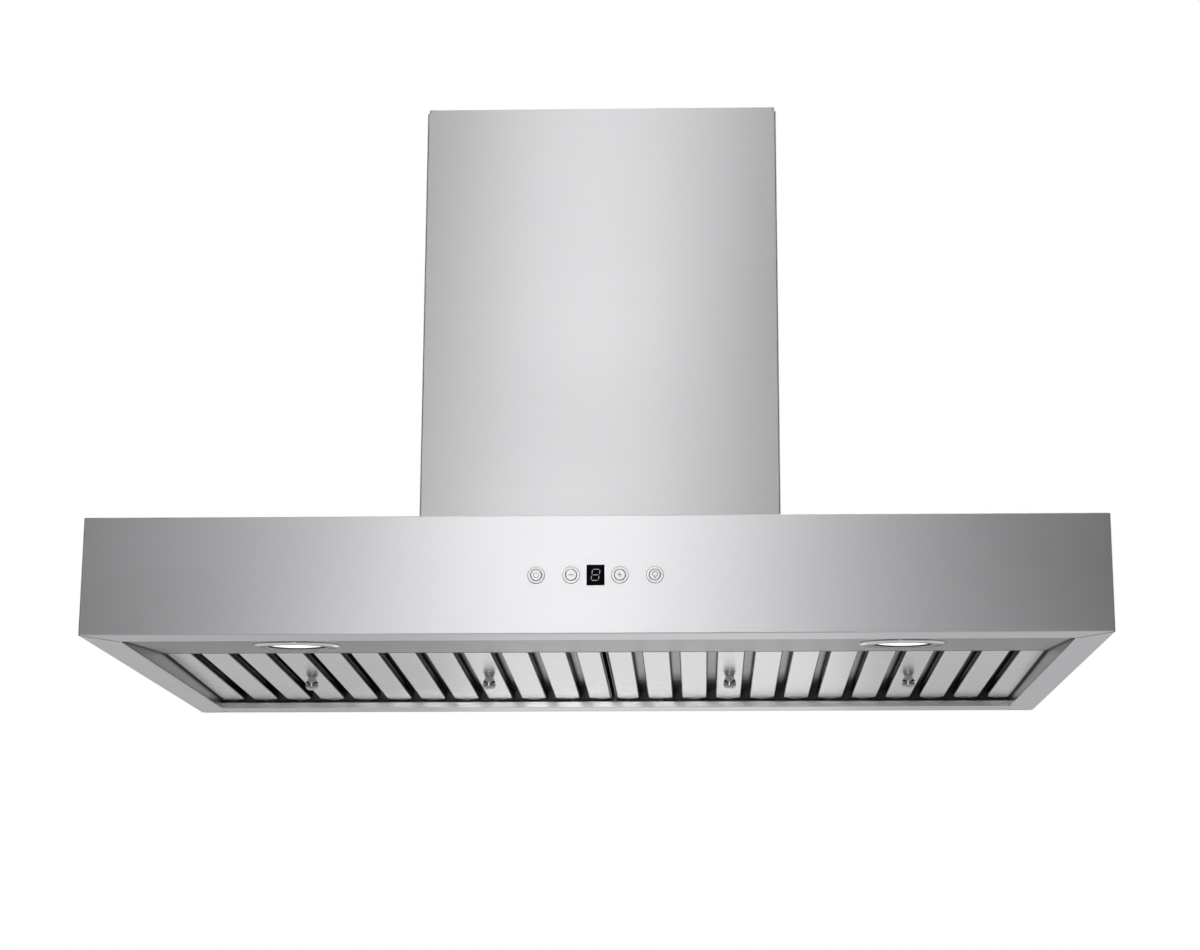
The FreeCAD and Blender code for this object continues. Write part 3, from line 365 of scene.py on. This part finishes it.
def turned(name, profile, closed=False, sides=64):
    """A shape turned about Z from a profile of radius and height, drawn outwards ring by ring.
    A closed profile comes back to its first point; an open one is capped at its ends."""
    radius, height = profile[0]
    piece = new_piece(name, bpy.ops.mesh.primitive_circle_add, vertices=sides, radius=radius,
                      location=(0, 0, height), fill_type="NOTHING" if closed else "NGON")
    bpy.ops.object.mode_set(mode="EDIT")
    bpy.ops.mesh.select_all(action="SELECT")
    steps = profile[1:] + (profile[:1] if closed else [])
    for wider, higher in steps:
        if closed:
            bpy.ops.mesh.select_mode(type="EDGE")
            bpy.ops.mesh.extrude_edges_move(TRANSFORM_OT_translate={"value": (0, 0, higher - height)})
        else:
            bpy.ops.mesh.select_mode(type="FACE")
            bpy.ops.mesh.extrude_region_move(TRANSFORM_OT_translate={"value": (0, 0, higher - height)})
        grow = wider / radius
        bpy.ops.transform.resize(value=(grow, grow, 1), center_override=(0, 0, higher))
        radius, height = wider, higher
    bpy.ops.mesh.select_all(action="SELECT")
    bpy.ops.mesh.remove_doubles(threshold=0.000005)
    bpy.ops.mesh.select_all(action="SELECT")
    bpy.ops.mesh.normals_make_consistent(inside=False)
    bpy.ops.object.mode_set(mode="OBJECT")
    return piece


def rounded(piece, width, segments=3, angle=28):
    apply(piece, "BEVEL", width=width, segments=segments, limit_method="ANGLE",
          angle_limit=math.radians(angle))
    soften(piece)


def stand(piece, where, turn=Matrix.Identity(4)):
    """Moves a finished mesh to its place and leaves its object at the origin."""
    piece.data.transform(Matrix.Translation(where) @ turn)
    piece.data.update()


def joined(pieces, name):
    """Joins the pieces into the first of them, and names the whole."""
    only(pieces[0])
    for piece in pieces:
        piece.select_set(True)
    bpy.ops.object.join()
    pieces[0].name = pieces[0].data.name = name
    return pieces[0]


def copy_of(piece, name):
    only(piece)
    bpy.ops.object.duplicate(linked=False)
    twin = bpy.context.object
    twin.name = twin.data.name = name
    return twin


def polished(name, colour, rough=0.08):
    material, tree, principled = shader(name, colour, 1, rough)
    haze = pattern(tree, "ShaderNodeTexNoise", (60, 60, 60), Scale=1, Detail=3)
    tree.links.new(spread(tree, haze, rough - 0.02, rough + 0.04), principled.inputs["Roughness"])
    tree.links.new(tint(tree, haze, tuple(c * 0.97 for c in colour), colour),
                   principled.inputs["Base Color"])
    return material


chrome = polished("polished_steel", (0.86, 0.86, 0.87))

lens_white, tree, principled = shader("frosted_lens", (0.95, 0.95, 0.93), 0, 0.25)
principled.inputs["Emission Color"].default_value = (1, 0.99, 0.97, 1)
principled.inputs["Emission Strength"].default_value = 0.66
pips = pattern(tree, "ShaderNodeTexVoronoi", (420, 420, 420), out="Distance", Scale=1)
tree.links.new(tint(tree, pips, (0.93, 0.93, 0.92), (0.98, 0.98, 0.97), 0, 0.8),
               principled.inputs["Base Color"])
dent(tree, principled, pips, 0.3, 0.0003)

# A near-black used as painted shade: round the lenses inside the lamp trims, and along the top of the
# grease channel's front wall.
painted_shade_black, tree, principled = shader("painted_shade_black", (0.015, 0.015, 0.015), 0, 0.6)
black_shade_speckle = pattern(tree, "ShaderNodeTexNoise", (800, 800, 800), Scale=1)
tree.links.new(tint(tree, black_shade_speckle, (0.010, 0.010, 0.010), (0.022, 0.022, 0.022)),
               principled.inputs["Base Color"])
ring = turned("lamp_trim", [
    (0.0272, -0.0024), (0.0372, -0.0026), (0.0398, -0.0012), (0.04, -0.0001), (0.032, -0.0001),
    (0.032, 0.005), (0.0289, 0.005), (0.0289, 0.0006), (0.0272, 0.0004)], closed=True, sides=96)
rounded(ring, 0.0007)
lens = turned("lamp_lens", [
    (0.002, -0.0021), (0.009, -0.0020), (0.017, -0.0016), (0.0235, -0.0009), (0.0265, 0.0002),
    (0.0286, 0.0012), (0.0286, 0.003), (0.002, 0.003)])
soften(lens, 40)
tilt = Matrix.Rotation(PANEL_SLOPE, 4, "X")
for name, side in SIDES:
    trim, glass = copy_of(ring, f"lamp_trim_{name}"), copy_of(lens, f"lamp_lens_{name}")
    for piece in (trim, glass):
        stand(piece, (side * LAMP_X, LAMP_Y, LAMP_Z), tilt)
    rides(trim, "hood", chrome, "chrome", f"lamp_ring_{name}")
    middle = Vector((side * LAMP_X, LAMP_Y, LAMP_Z))
    # The trim's inner wall round the lens is painted near-black: painted shade in the recess at the lens's
    # edge.
    paint_faces(trim, painted_shade_black, lambda face, m=middle: (
        (face_middle(face) - m).length < SHADE_REACH and face.normal.z > -0.5))
    rides(glass, "hood", lens_white, "lamp_lens", f"lamp_glass_{name}")
for pattern_piece in (ring, lens):
    bpy.data.objects.remove(pattern_piece)

cast_metal, tree, principled = shader("cast_aluminium", (0.55, 0.56, 0.58), 1, 0.5)
grain = pattern(tree, "ShaderNodeTexNoise", (700, 700, 700), Scale=1, Detail=4)
tree.links.new(tint(tree, grain, (0.47, 0.48, 0.5), (0.6, 0.61, 0.63)), principled.inputs["Base Color"])
tree.links.new(spread(tree, grain, 0.42, 0.6), principled.inputs["Roughness"])
dent(tree, principled, grain, 0.3, 0.0002)
finish_with(cast_metal, "lamp_body_left", "lamp_body_right")
spring_steel = polished("spring_steel", (0.55, 0.55, 0.55), 0.25)
finish_with(spring_steel, "lamp_springs", "filter_catches")


# ---- Baffle filters -----------------------------------------------------------------------------
# Two frames of four rails, each with twelve open channels below and eleven inverted ones above the slots
# between them. All are roll-formed stainless strip, spot-welded to the front and rear rails.

HINGE_IN, HINGE_UP = 0.194, 0.016
TAIL_IN, TAIL_UP = 0.484, 0.0086
FILTER_X, FILTER_Y, FILTER_Z = 0.2145, FRONT + HINGE_IN, HINGE_UP - DROP
FILTER_FALL = math.atan2(TAIL_UP - HINGE_UP, TAIL_IN - HINGE_IN)
PITCH, BAFFLES = 0.0365, 12
BAFFLE_WIDE, END_WIDE, END_SHIFT = 0.0272, 0.0242, 0.0015
RUN_START, RUN_END = 0.006, 0.284
STRIP = 0.0008
KNOB_STEPS, KNOB_IN = (3, 8), 0.14


def baffle_x(step):
    """How far a baffle's middle stands from the middle of its filter."""
    return (step - (BAFFLES - 1) / 2) * PITCH


def baffle(name, width):
    """One open channel of folded strip, its two rear corners cut off on a slant for the drips."""
    long, lip, slant = RUN_END - RUN_START, 0.0065, 0.0125
    piece = new_piece(name, bpy.ops.mesh.primitive_plane_add, size=1,
                      location=(0, (RUN_START + RUN_END) / 2, 0), scale=(width, long, 1))
    bpy.ops.object.mode_set(mode="EDIT")
    pick(piece, "EDGE", lambda edge: all(abs(abs(v.co.x) - width / 2) < TOUCH for v in edge.verts))
    bpy.ops.mesh.extrude_edges_move(TRANSFORM_OT_translate={"value": (0, 0, lip)})
    bpy.ops.mesh.select_all(action="SELECT")
    bpy.ops.mesh.normals_make_consistent(inside=False)
    pick(piece, "FACE", lambda face: abs(face.normal.z) > 0.9)
    if bmesh.from_edit_mesh(piece.data).faces[0].normal.z > 0.9:
        bpy.ops.mesh.select_all(action="SELECT")
        bpy.ops.mesh.flip_normals()
    bpy.ops.object.mode_set(mode="OBJECT")
    apply(piece, "BEVEL", width=BEND, segments=4, limit_method="ANGLE", angle_limit=math.radians(50))
    bpy.ops.object.mode_set(mode="EDIT")
    for side in (-1, 1):
        slice_all(piece, (side * (width / 2 - 0.001), RUN_END - slant, 0), (side * 14, 8, 0),
                  clear_outer=True)
    bpy.ops.object.mode_set(mode="OBJECT")
    apply(piece, "SOLIDIFY", thickness=STRIP, offset=-1)
    soften(piece, 40)
    return piece


plain, narrow = baffle("baffle_plain", BAFFLE_WIDE), baffle("baffle_end", END_WIDE)
# The lower baffles darken where their faces and bends turn sideways: painted shade on the bends.
filter_steel = brushed("filter_steel", (0.90, 0.90, 0.90), 0.27, 1.0, ("Normal", "X", 0.12, 0.6, 0.93))
# The upper baffles and the rails are painted far darker than the lower baffles, the upper ones darker still
# towards the rear: painted shade in the slots and along the rear.
upper_steel = brushed("upper_baffle_steel", (0.30, 0.30, 0.30), 0.3, 1.0,
                      ("Object", "Y", 0.11, 0.17, 0.95))
rail_steel = brushed("rail_steel", (0.16, 0.16, 0.16), 0.4)
lean = Matrix.Rotation(FILTER_FALL, 4, "X")
for name, side in SIDES:
    row = []
    for step in range(BAFFLES):
        x = baffle_x(step)
        end = step in (0, BAFFLES - 1)
        x -= math.copysign(END_SHIFT, x) if end else 0
        strip = copy_of(narrow if end else plain, f"baffle_{name}_{step}")
        stand(strip, (side * FILTER_X, FILTER_Y, FILTER_Z), lean @ Matrix.Translation((x, 0, 0)))
        row.append(strip)
    rides(joined(row, f"baffles_{name}"), f"filter_{name}", filter_steel, "satin_steel",
          f"lower_baffles_{name}")
for pattern_piece in (plain, narrow):
    bpy.data.objects.remove(pattern_piece)
finish_with(upper_steel, "upper_baffles_left", "upper_baffles_right")
finish_with(rail_steel, "filter_rails_left", "filter_rails_right")
finish_with(spring_steel, "knob_screws_left", "knob_screws_right")

# Two polished knobs are screwed to each filter's middle, for pulling it down.
knob_steel = polished("knob_steel", (0.60, 0.60, 0.61), 0.05)
knob = turned("filter_knob", [
    (0.0046, -0.00003), (0.0047, -0.0010), (0.0051, -0.0024), (0.0057, -0.0040), (0.0062, -0.0058),
    (0.0065, -0.0078), (0.0064, -0.0098), (0.0055, -0.0116), (0.0039, -0.0127), (0.0016, -0.013)], sides=40)
rounded(knob, 0.0005, 2)
for name, side in SIDES:
    pair = []
    for step in KNOB_STEPS:
        twin = copy_of(knob, f"knob_{name}_{step}")
        stand(twin, (side * FILTER_X, FILTER_Y, FILTER_Z),
              lean @ Matrix.Translation((baffle_x(step), KNOB_IN, 0)))
        pair.append(twin)
    rides(joined(pair, f"knobs_{name}"), f"filter_{name}", knob_steel, "chrome", f"filter_knobs_{name}")
bpy.data.objects.remove(knob)


# ---- Grease channel -----------------------------------------------------------------------------
# A bent gutter of satin sheet behind the filters. It carries their rear ends and catches the drips.

CHANNEL_Y, CHANNEL_END = FRONT + 0.476, BACK - REAR_LIP - 0.0004
channel_long, wall_tall, rear_tall = MOUTH_X * 2 - 0.001, 0.0062, 0.026
TABS, TAB_HALF, TAB_TALL = (-0.37, -0.06, 0.06, 0.37), 0.007, 0.0018
channel = new_piece("grease_gutter", bpy.ops.mesh.primitive_plane_add, size=1,
                    location=(0, (CHANNEL_Y + CHANNEL_END) / 2, -DROP),
                    scale=(channel_long, CHANNEL_END - CHANNEL_Y, 1))
bpy.ops.object.mode_set(mode="EDIT")
pick(channel, "EDGE", lambda edge: all(abs(v.co.y - CHANNEL_Y) < TOUCH for v in edge.verts))
bpy.ops.mesh.extrude_edges_move(TRANSFORM_OT_translate={"value": (0, 0, wall_tall)})
pick(channel, "EDGE", lambda edge: all(abs(v.co.y - CHANNEL_END) < TOUCH for v in edge.verts))
bpy.ops.mesh.extrude_edges_move(TRANSFORM_OT_translate={"value": (0, 0, rear_tall)})
on_wall = lambda face: abs(face_middle(face).y - CHANNEL_Y) < TOUCH
for x in [middle + way * TAB_HALF for middle in TABS for way in (-1, 1)]:
    slice_all(channel, (x, 0, 0), (1, 0, 0), on_wall)
pick(channel, "EDGE", lambda edge: all(
    abs(v.co.y - CHANNEL_Y) < TOUCH and abs(v.co.z - wall_tall + DROP) < TOUCH for v in edge.verts)
    and min(abs(sum(v.co.x for v in edge.verts) / 2 - x) for x in TABS) < SHEET)
bpy.ops.mesh.extrude_edges_move(TRANSFORM_OT_translate={"value": (0, 0, TAB_TALL)})
bpy.ops.mesh.select_all(action="SELECT")
bpy.ops.mesh.normals_make_consistent(inside=False)
pick(channel, "FACE", lambda face: abs(face.normal.z) > 0.9)
if any(face.select and face.normal.z > 0.9 for face in bmesh.from_edit_mesh(channel.data).faces):
    bpy.ops.mesh.select_all(action="SELECT")
    bpy.ops.mesh.flip_normals()
bpy.ops.object.mode_set(mode="OBJECT")
apply(channel, "BEVEL", width=0.0008, segments=3, limit_method="ANGLE", angle_limit=math.radians(50))
apply(channel, "SOLIDIFY", thickness=SHEET, offset=-1)
soften(channel)
channel_steel = brushed("channel_steel", (0.88, 0.88, 0.885), 0.30, 0.4)
rides(channel, "grease_channel_body", channel_steel, "satin_steel", "grease_channel")
# The front wall's top edge and its tabs are painted near-black: a painted shadow line where the filters'
# rear ends pass over the channel.
paint_faces(channel, painted_shade_black, lambda face: (
    face_middle(face).y < CHANNEL_Y + SHEET and face_middle(face).z > wall_tall - 0.0003 - DROP))


# ---- Controls -----------------------------------------------------------------------------------
# Four sprung push buttons stand in polished bezels beside a black window with one digit. Behind the front
# wall their plungers meet the switches on a circuit board in a moulded housing.

turn_front = Matrix.Rotation(math.pi / 2, 4, "X")    # a piece turned about Z, drawn with +Z outwards
bezel = turned("bezel", [
    (0.0053, 0.0009), (0.0073, 0.0009), (0.0077, 0.0004), (0.0077, 0), (0.0065, -0.0001), (0.0065, -0.0035),
    (0.0053, -0.0035)], closed=True)
rounded(bezel, 0.00012, 2)
rings = []
for name, x in BUTTONS.items():
    twin = copy_of(bezel, f"bezel_{name}")
    stand(twin, (x, FRONT, PANEL_Z), turn_front)
    rings.append(twin)
bezels = joined(rings, "bezels")
bezel_steel = polished("bezel_steel", (0.86, 0.86, 0.87), 0.36)
rides(bezels, "hood", bezel_steel, "chrome", "button_bezels")
# The bezels' outer chamfers are painted near-black: a painted shadow ring round each bezel.
bezel_shadow_paint = polished("bezel_painted_shadow", (0.03, 0.03, 0.033), 0.3)
paint_faces(bezels, bezel_shadow_paint, lambda face: -0.9 < face.normal.y < 0.5 and face_middle(face).y < FRONT)
bpy.data.objects.remove(bezel)

cap_steel = brushed("cap_steel", (0.86, 0.86, 0.87), 0.38, 0.5)
cap = turned("cap", [
    (0.0020, 0.00150), (0.0046, 0.00150), (0.0049, 0.0012), (0.0049, -0.0039), (0.0062, -0.0039),
    (0.0062, -0.005), (0.0025, -0.005), (0.0025, -0.0116)])
rounded(cap, 0.0002, 2)
print_grey, tree, principled = shader("icon_print", (0.06, 0.06, 0.065), 0, 0.5)
speck = pattern(tree, "ShaderNodeTexNoise", (2500, 2500, 2500), Scale=1)
tree.links.new(tint(tree, speck, (0.05, 0.05, 0.055), (0.08, 0.08, 0.085)), principled.inputs["Base Color"])
PRINT_Y, PRINT_THICK = -0.00153, 0.00006


def bar(name, x, z, wide, tall, turn=0):
    """A thin printed bar on a button, centred x and z from its middle."""
    piece = new_piece(name, bpy.ops.mesh.primitive_cube_add, size=1, location=(0, 0, 0),
                      scale=(wide, PRINT_THICK, tall))
    piece.data.transform(Matrix.Translation((x, PRINT_Y, z)) @ Matrix.Rotation(turn, 4, "Y"))
    return piece


def hoop(name, radius, wide, z=0, gap=0):
    """A thin printed ring, open at the top by gap degrees on each side."""
    piece = new_piece(name, bpy.ops.mesh.primitive_circle_add, vertices=48, radius=radius,
                      location=(0, 0, 0), fill_type="NOTHING")
    bpy.ops.object.mode_set(mode="EDIT")
    bpy.ops.mesh.select_all(action="SELECT")
    bpy.ops.mesh.extrude_edges_move(TRANSFORM_OT_translate={"value": (0, 0, 0)})
    shrink = (radius - wide) / radius
    bpy.ops.transform.resize(value=(shrink, shrink, 1), center_override=(0, 0, 0))
    if gap:
        pick(piece, "FACE", lambda face: abs(math.degrees(math.atan2(*face_middle(face).xy))) < gap)
        bpy.ops.mesh.delete(type="FACE")
    bpy.ops.mesh.select_all(action="SELECT")
    bpy.ops.mesh.normals_make_consistent(inside=False)
    bpy.ops.object.mode_set(mode="OBJECT")
    apply(piece, "SOLIDIFY", thickness=PRINT_THICK, offset=0)
    piece.data.transform(Matrix.Translation((0, PRINT_Y, z)) @ turn_front)
    return piece


icons = {
    "power": [hoop("mark", 0.0027, 0.0005, gap=32), bar("mark", 0, 0.0018, 0.0005, 0.0028)],
    "minus": [bar("mark", 0, 0, 0.0042, 0.0006)],
    "plus": [bar("mark", 0, 0, 0.0042, 0.0006), bar("mark", 0, 0.0013, 0.0006, 0.0016),
             bar("mark", 0, -0.0013, 0.0006, 0.0016)],
    "light": [hoop("mark", 0.0024, 0.0005, z=0.0006), bar("mark", 0, -0.0024, 0.0018, 0.0005),
              bar("mark", 0, -0.0032, 0.0013, 0.0004)],
}
for name, x in BUTTONS.items():
    button = copy_of(cap, f"button_{name}_cap")
    button.data.transform(turn_front)
    stand(button, (x, FRONT, PANEL_Z))
    rides(button, f"button_{name}_body", cap_steel, "button_steel", f"button_{name}")
    mark = joined(icons[name], f"icon_{name}")
    stand(mark, (x, FRONT, PANEL_Z))
    mark.data.materials.clear()
    mark.data.materials.append(print_grey)
    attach(mark, f"button_{name}_body")
bpy.data.objects.remove(cap)

window = new_piece("display_glass", bpy.ops.mesh.primitive_cube_add, size=1,
                   location=(PANEL_X, FRONT - 0.0004, PANEL_Z), scale=(0.0159, 0.0008, 0.0185))
bpy.ops.object.mode_set(mode="EDIT")
pick(window, "FACE", lambda face: face.normal.y > 0.9)
bpy.ops.mesh.inset(thickness=0.0012, depth=0)
bpy.ops.mesh.extrude_region_move(TRANSFORM_OT_translate={"value": (0, 0.008, 0)})
bpy.ops.object.mode_set(mode="OBJECT")
rounded(window, 0.0003, 3)
black_glass, tree, principled = shader("black_window", (0.004, 0.004, 0.005), 0, 0.3,
                                       Specular_IOR_Level=0.005)
film = pattern(tree, "ShaderNodeTexNoise", (300, 300, 300), Scale=1)
tree.links.new(spread(tree, film, 0.26, 0.36), principled.inputs["Roughness"])
tree.links.new(tint(tree, film, (0.003, 0.003, 0.004), (0.006, 0.006, 0.007)),
               principled.inputs["Base Color"])
rides(window, "hood", black_glass, "black_gloss", "display_window")

segment_grey, tree, principled = shader("digit_segments", (0.62, 0.62, 0.64), 0, 0.5)
principled.inputs["Emission Color"].default_value = (0.9, 0.92, 1, 1)
principled.inputs["Emission Strength"].default_value = 0.1
dots = pattern(tree, "ShaderNodeTexNoise", (1500, 1500, 1500), Scale=1)
tree.links.new(tint(tree, dots, (0.52, 0.52, 0.54), (0.68, 0.68, 0.70)), principled.inputs["Base Color"])
DIGIT_WIDE, DIGIT_TALL, DIGIT_LEAN = 0.0066, 0.0100, 0.14
STROKE, STROKE_GAP = 0.0006, 0.0016
strokes = [bar("stroke", level * DIGIT_TALL / 2 * DIGIT_LEAN, level * DIGIT_TALL / 2,
               DIGIT_WIDE - STROKE_GAP, STROKE)
           for level in (-1, 0, 1)]
strokes += [bar("stroke", side * DIGIT_WIDE / 2 + level * DIGIT_TALL / 4 * DIGIT_LEAN,
                level * DIGIT_TALL / 4, STROKE, DIGIT_TALL / 2 - STROKE_GAP, math.atan(DIGIT_LEAN))
            for side in (-1, 1) for level in (-1, 1)]
digit = joined(strokes, "digit")
stand(digit, (PANEL_X, FRONT + 0.00063, PANEL_Z))
rides(digit, "hood", segment_grey, "digit_grey", "display_digit")


def moulded(name, colour, grain_size=900, rough=0.5):
    """Injection-moulded plastic with a fine spark-eroded grain."""
    material, tree, principled = shader(name, colour, 0, rough)
    grain = pattern(tree, "ShaderNodeTexNoise", (grain_size,) * 3, Scale=1, Detail=3)
    dark, light = tuple(c * 0.8 for c in colour), tuple(min(1, c * 1.2) for c in colour)
    tree.links.new(tint(tree, grain, dark, light), principled.inputs["Base Color"])
    tree.links.new(spread(tree, grain, rough - 0.08, rough + 0.08), principled.inputs["Roughness"])
    dent(tree, principled, grain, 0.25, 0.0001)
    return material


black_plastic = moulded("black_plastic", (0.03, 0.03, 0.032))
board_green, tree, principled = shader("board_green", (0.03, 0.18, 0.07), 0, 0.35)
tracks = pattern(tree, "ShaderNodeTexBrick", (180, 180, 180), out="Fac", Scale=1)
tree.links.new(tint(tree, tracks, (0.02, 0.13, 0.05), (0.06, 0.26, 0.12), 0, 1),
               principled.inputs["Base Color"])
finish_with(board_green, "control_board")
finish_with(black_plastic, "control_housing", "tact_switches")


# ---- Chimney covers -----------------------------------------------------------------------------
# The lower cover is two bent halves of brushed sheet that stand on the canopy round an angle ring. The
# upper cover slides inside it and hangs from the ceiling plate.

cover_steel = brushed("cover_steel", (0.82, 0.815, 0.832), 0.325, 0.6)
finish_with(cover_steel, "lower_chimney_front", "lower_chimney_rear", "upper_chimney")


# ---- Hanging frame ------------------------------------------------------------------------------
# Galvanised corner angles run up from the canopy and down from the ceiling plate, and eight bolts in the
# slots clamp them to each other.


def galvanised(name, colour):
    """Zinc-coated sheet with its flat, many-sided crystals."""
    material, tree, principled = shader(name, colour, 1, 0.4)
    crystals = pattern(tree, "ShaderNodeTexVoronoi", (110, 110, 110), out="Color", Scale=1)
    split = tree.nodes.new("ShaderNodeSeparateColor")
    tree.links.new(crystals, split.inputs["Color"])
    tree.links.new(tint(tree, split.outputs["Red"], tuple(c * 0.84 for c in colour),
                        tuple(c * 1.14 for c in colour), 0, 1), principled.inputs["Base Color"])
    tree.links.new(spread(tree, split.outputs["Green"], 0.32, 0.5, 0, 1), principled.inputs["Roughness"])
    return material


zinc = galvanised("zinc_sheet", (0.50, 0.52, 0.54))
finish_with(zinc, "chimney_base_ring", "lower_posts", "upper_posts", "ceiling_plate")
bolt_zinc = polished("plated_bolts", (0.60, 0.61, 0.63), 0.28)
finish_with(bolt_zinc, "frame_bolts", "frame_nuts", "chimney_screws", "blower_box_screws")


# ---- Blower -------------------------------------------------------------------------------------
# A galvanised box holds the scroll, the motor on its three-armed spider and the double-inlet wheel.

finish_with(zinc, "blower_box", "scroll_housing", "motor_spider")
finish_with(black_plastic, "inlet_rings", "duct_collar", "damper_flap_left", "damper_flap_right")
wheel_plastic = moulded("wheel_plastic", (0.06, 0.06, 0.065), 700, 0.42)
finish_with(wheel_plastic, "impeller")
finish_with(spring_steel, "motor_shaft", "damper_pin")
motor_paint = moulded("motor_paint", (0.12, 0.12, 0.13), 400, 0.35)
finish_with(motor_paint, "motor_body")


# ---- Power box ----------------------------------------------------------------------------------
# The mains lead comes down through the gland to three terminals, beside the sealed supply for the lamps.

finish_with(zinc, "power_box", "power_box_lid")
finish_with(black_plastic, "power_supply", "cable_gland")
white_plastic = moulded("white_plastic", (0.78, 0.78, 0.76), 900, 0.45)
finish_with(white_plastic, "terminal_blocks")


# ---- Studio -------------------------------------------------------------------------------------
# A pale floor well below the hood, soft boxes round it and a white backdrop. In front stand two tall strip
# lights at one place, one for the chimney covers alone and one for all the rest.

floor = new_piece("studio_floor", bpy.ops.mesh.primitive_plane_add, size=60, location=(0, 0, -2.3))
floor_paint, tree, principled = shader("floor_paint", (0.86, 0.86, 0.86), 0, 0.7)
principled.inputs["Emission Color"].default_value = (1, 1, 1, 1)
principled.inputs["Emission Strength"].default_value = 0.55
dust = pattern(tree, "ShaderNodeTexNoise", (2, 2, 2), Scale=1)
tree.links.new(tint(tree, dust, (0.84, 0.84, 0.84), (0.87, 0.87, 0.87)), principled.inputs["Base Color"])
floor.data.materials.append(floor_paint)
floor.visible_glossy = False


def soft_box(name, where, towards, wide, tall, watts):
    lamp = bpy.data.lights.new(name, "AREA")
    lamp.shape, lamp.size, lamp.size_y, lamp.energy = "RECTANGLE", wide, tall, watts
    holder = bpy.data.objects.new(name, lamp)
    bpy.context.scene.collection.objects.link(holder)
    holder.location = where
    holder.rotation_euler = (Vector(towards) - Vector(where)).to_track_quat("-Z", "Z").to_euler()
    holder.visible_camera = False
    return holder


def shines_on(lamp, names, state):
    """Lights only the named nodes, or all but them."""
    group = bpy.data.collections.new(f"{lamp.name}_targets")
    lamp.light_linking.receiver_collection = group
    for name in names:
        group.objects.link(nodes[name])
    for entry in group.collection_objects:
        entry.light_linking.link_state = state


COVERS = ("lower_chimney_front", "lower_chimney_rear", "upper_chimney")
for name, watts, state in (("strip_canopy", 18.7, "EXCLUDE"), ("strip_cover", 12.7, "INCLUDE")):
    strip = soft_box(name, (-0.145, -2.75, 0.5), (-0.145, 0, 0.5), 0.2, 4.4, watts)
    strip.rotation_euler.rotate_axis("Z", math.radians(-3))
    shines_on(strip, COVERS, state)
soft_box("box_behind", (-0.03, 4.2, -1.45), (-0.03, 0, -1.45), 1.1, 1.6, 2)
soft_box("box_left", (-3.2, 0.4, 0.6), (0, 0, -0.3), 2.4, 1.8, 13)
soft_box("box_right", (3.2, 0.2, 0.6), (0, 0, -0.3), 2.4, 1.8, 13)
soft_box("box_back", (0, 3.2, 0.8), (0, 0, -0.3), 3.2, 1.6, 22)
soft_box("box_top", (0, 0.2, 3.0), (0, 0, 0), 2.5, 2.5, 34)

world = bpy.data.worlds.new("studio_air")
bpy.context.scene.world = world
world.use_nodes = True
tree = world.node_tree
background = tree.nodes["Background"]
coords = tree.nodes.new("ShaderNodeTexCoord")
parts = tree.nodes.new("ShaderNodeSeparateXYZ")
tree.links.new(coords.outputs["Generated"], parts.inputs["Vector"])
behind = spread(tree, parts.outputs["Y"], 0, 1, -0.35, 0.6)
level = spread(tree, parts.outputs["Z"], 0.16, 1, 0.03, -0.10)
below = spread(tree, parts.outputs["Z"], 0, 0.27, -0.06, -0.3)
glow = tree.nodes.new("ShaderNodeMath")
glow.operation = "MULTIPLY"
tree.links.new(behind, glow.inputs[0])
tree.links.new(level, glow.inputs[1])
far = tree.nodes.new("ShaderNodeMath")
far.operation = "MULTIPLY_ADD"
far.inputs[1].default_value = 0.26
far.inputs[2].default_value = 0.045
tree.links.new(glow.outputs["Value"], far.inputs[0])
all_round = tree.nodes.new("ShaderNodeMath")
all_round.operation = "ADD"
tree.links.new(far.outputs["Value"], all_round.inputs[0])
tree.links.new(below, all_round.inputs[1])
path = tree.nodes.new("ShaderNodeLightPath")
air = tree.nodes.new("ShaderNodeMix")
tree.links.new(path.outputs["Is Camera Ray"], air.inputs["Factor"])
tree.links.new(all_round.outputs["Value"], air.inputs["A"])
air.inputs["B"].default_value = 1
tree.links.new(air.outputs["Result"], background.inputs["Strength"])
background.inputs["Color"].default_value = (1, 1, 1, 1)

camera = bpy.data.cameras.new("camera")
camera.lens, camera.sensor_width, camera.shift_x, camera.shift_y = 67.799, 36, -0.04, 0.055
holder = bpy.data.objects.new("camera", camera)
bpy.context.scene.collection.objects.link(holder)
holder.location = (0.0933, -2.2137, -0.8689)
holder.rotation_euler = (math.radians(90 + 12.036), 0, math.radians(1.341))
bpy.context.scene.camera = holder
bpy.context.scene.view_settings.view_transform = "Standard"
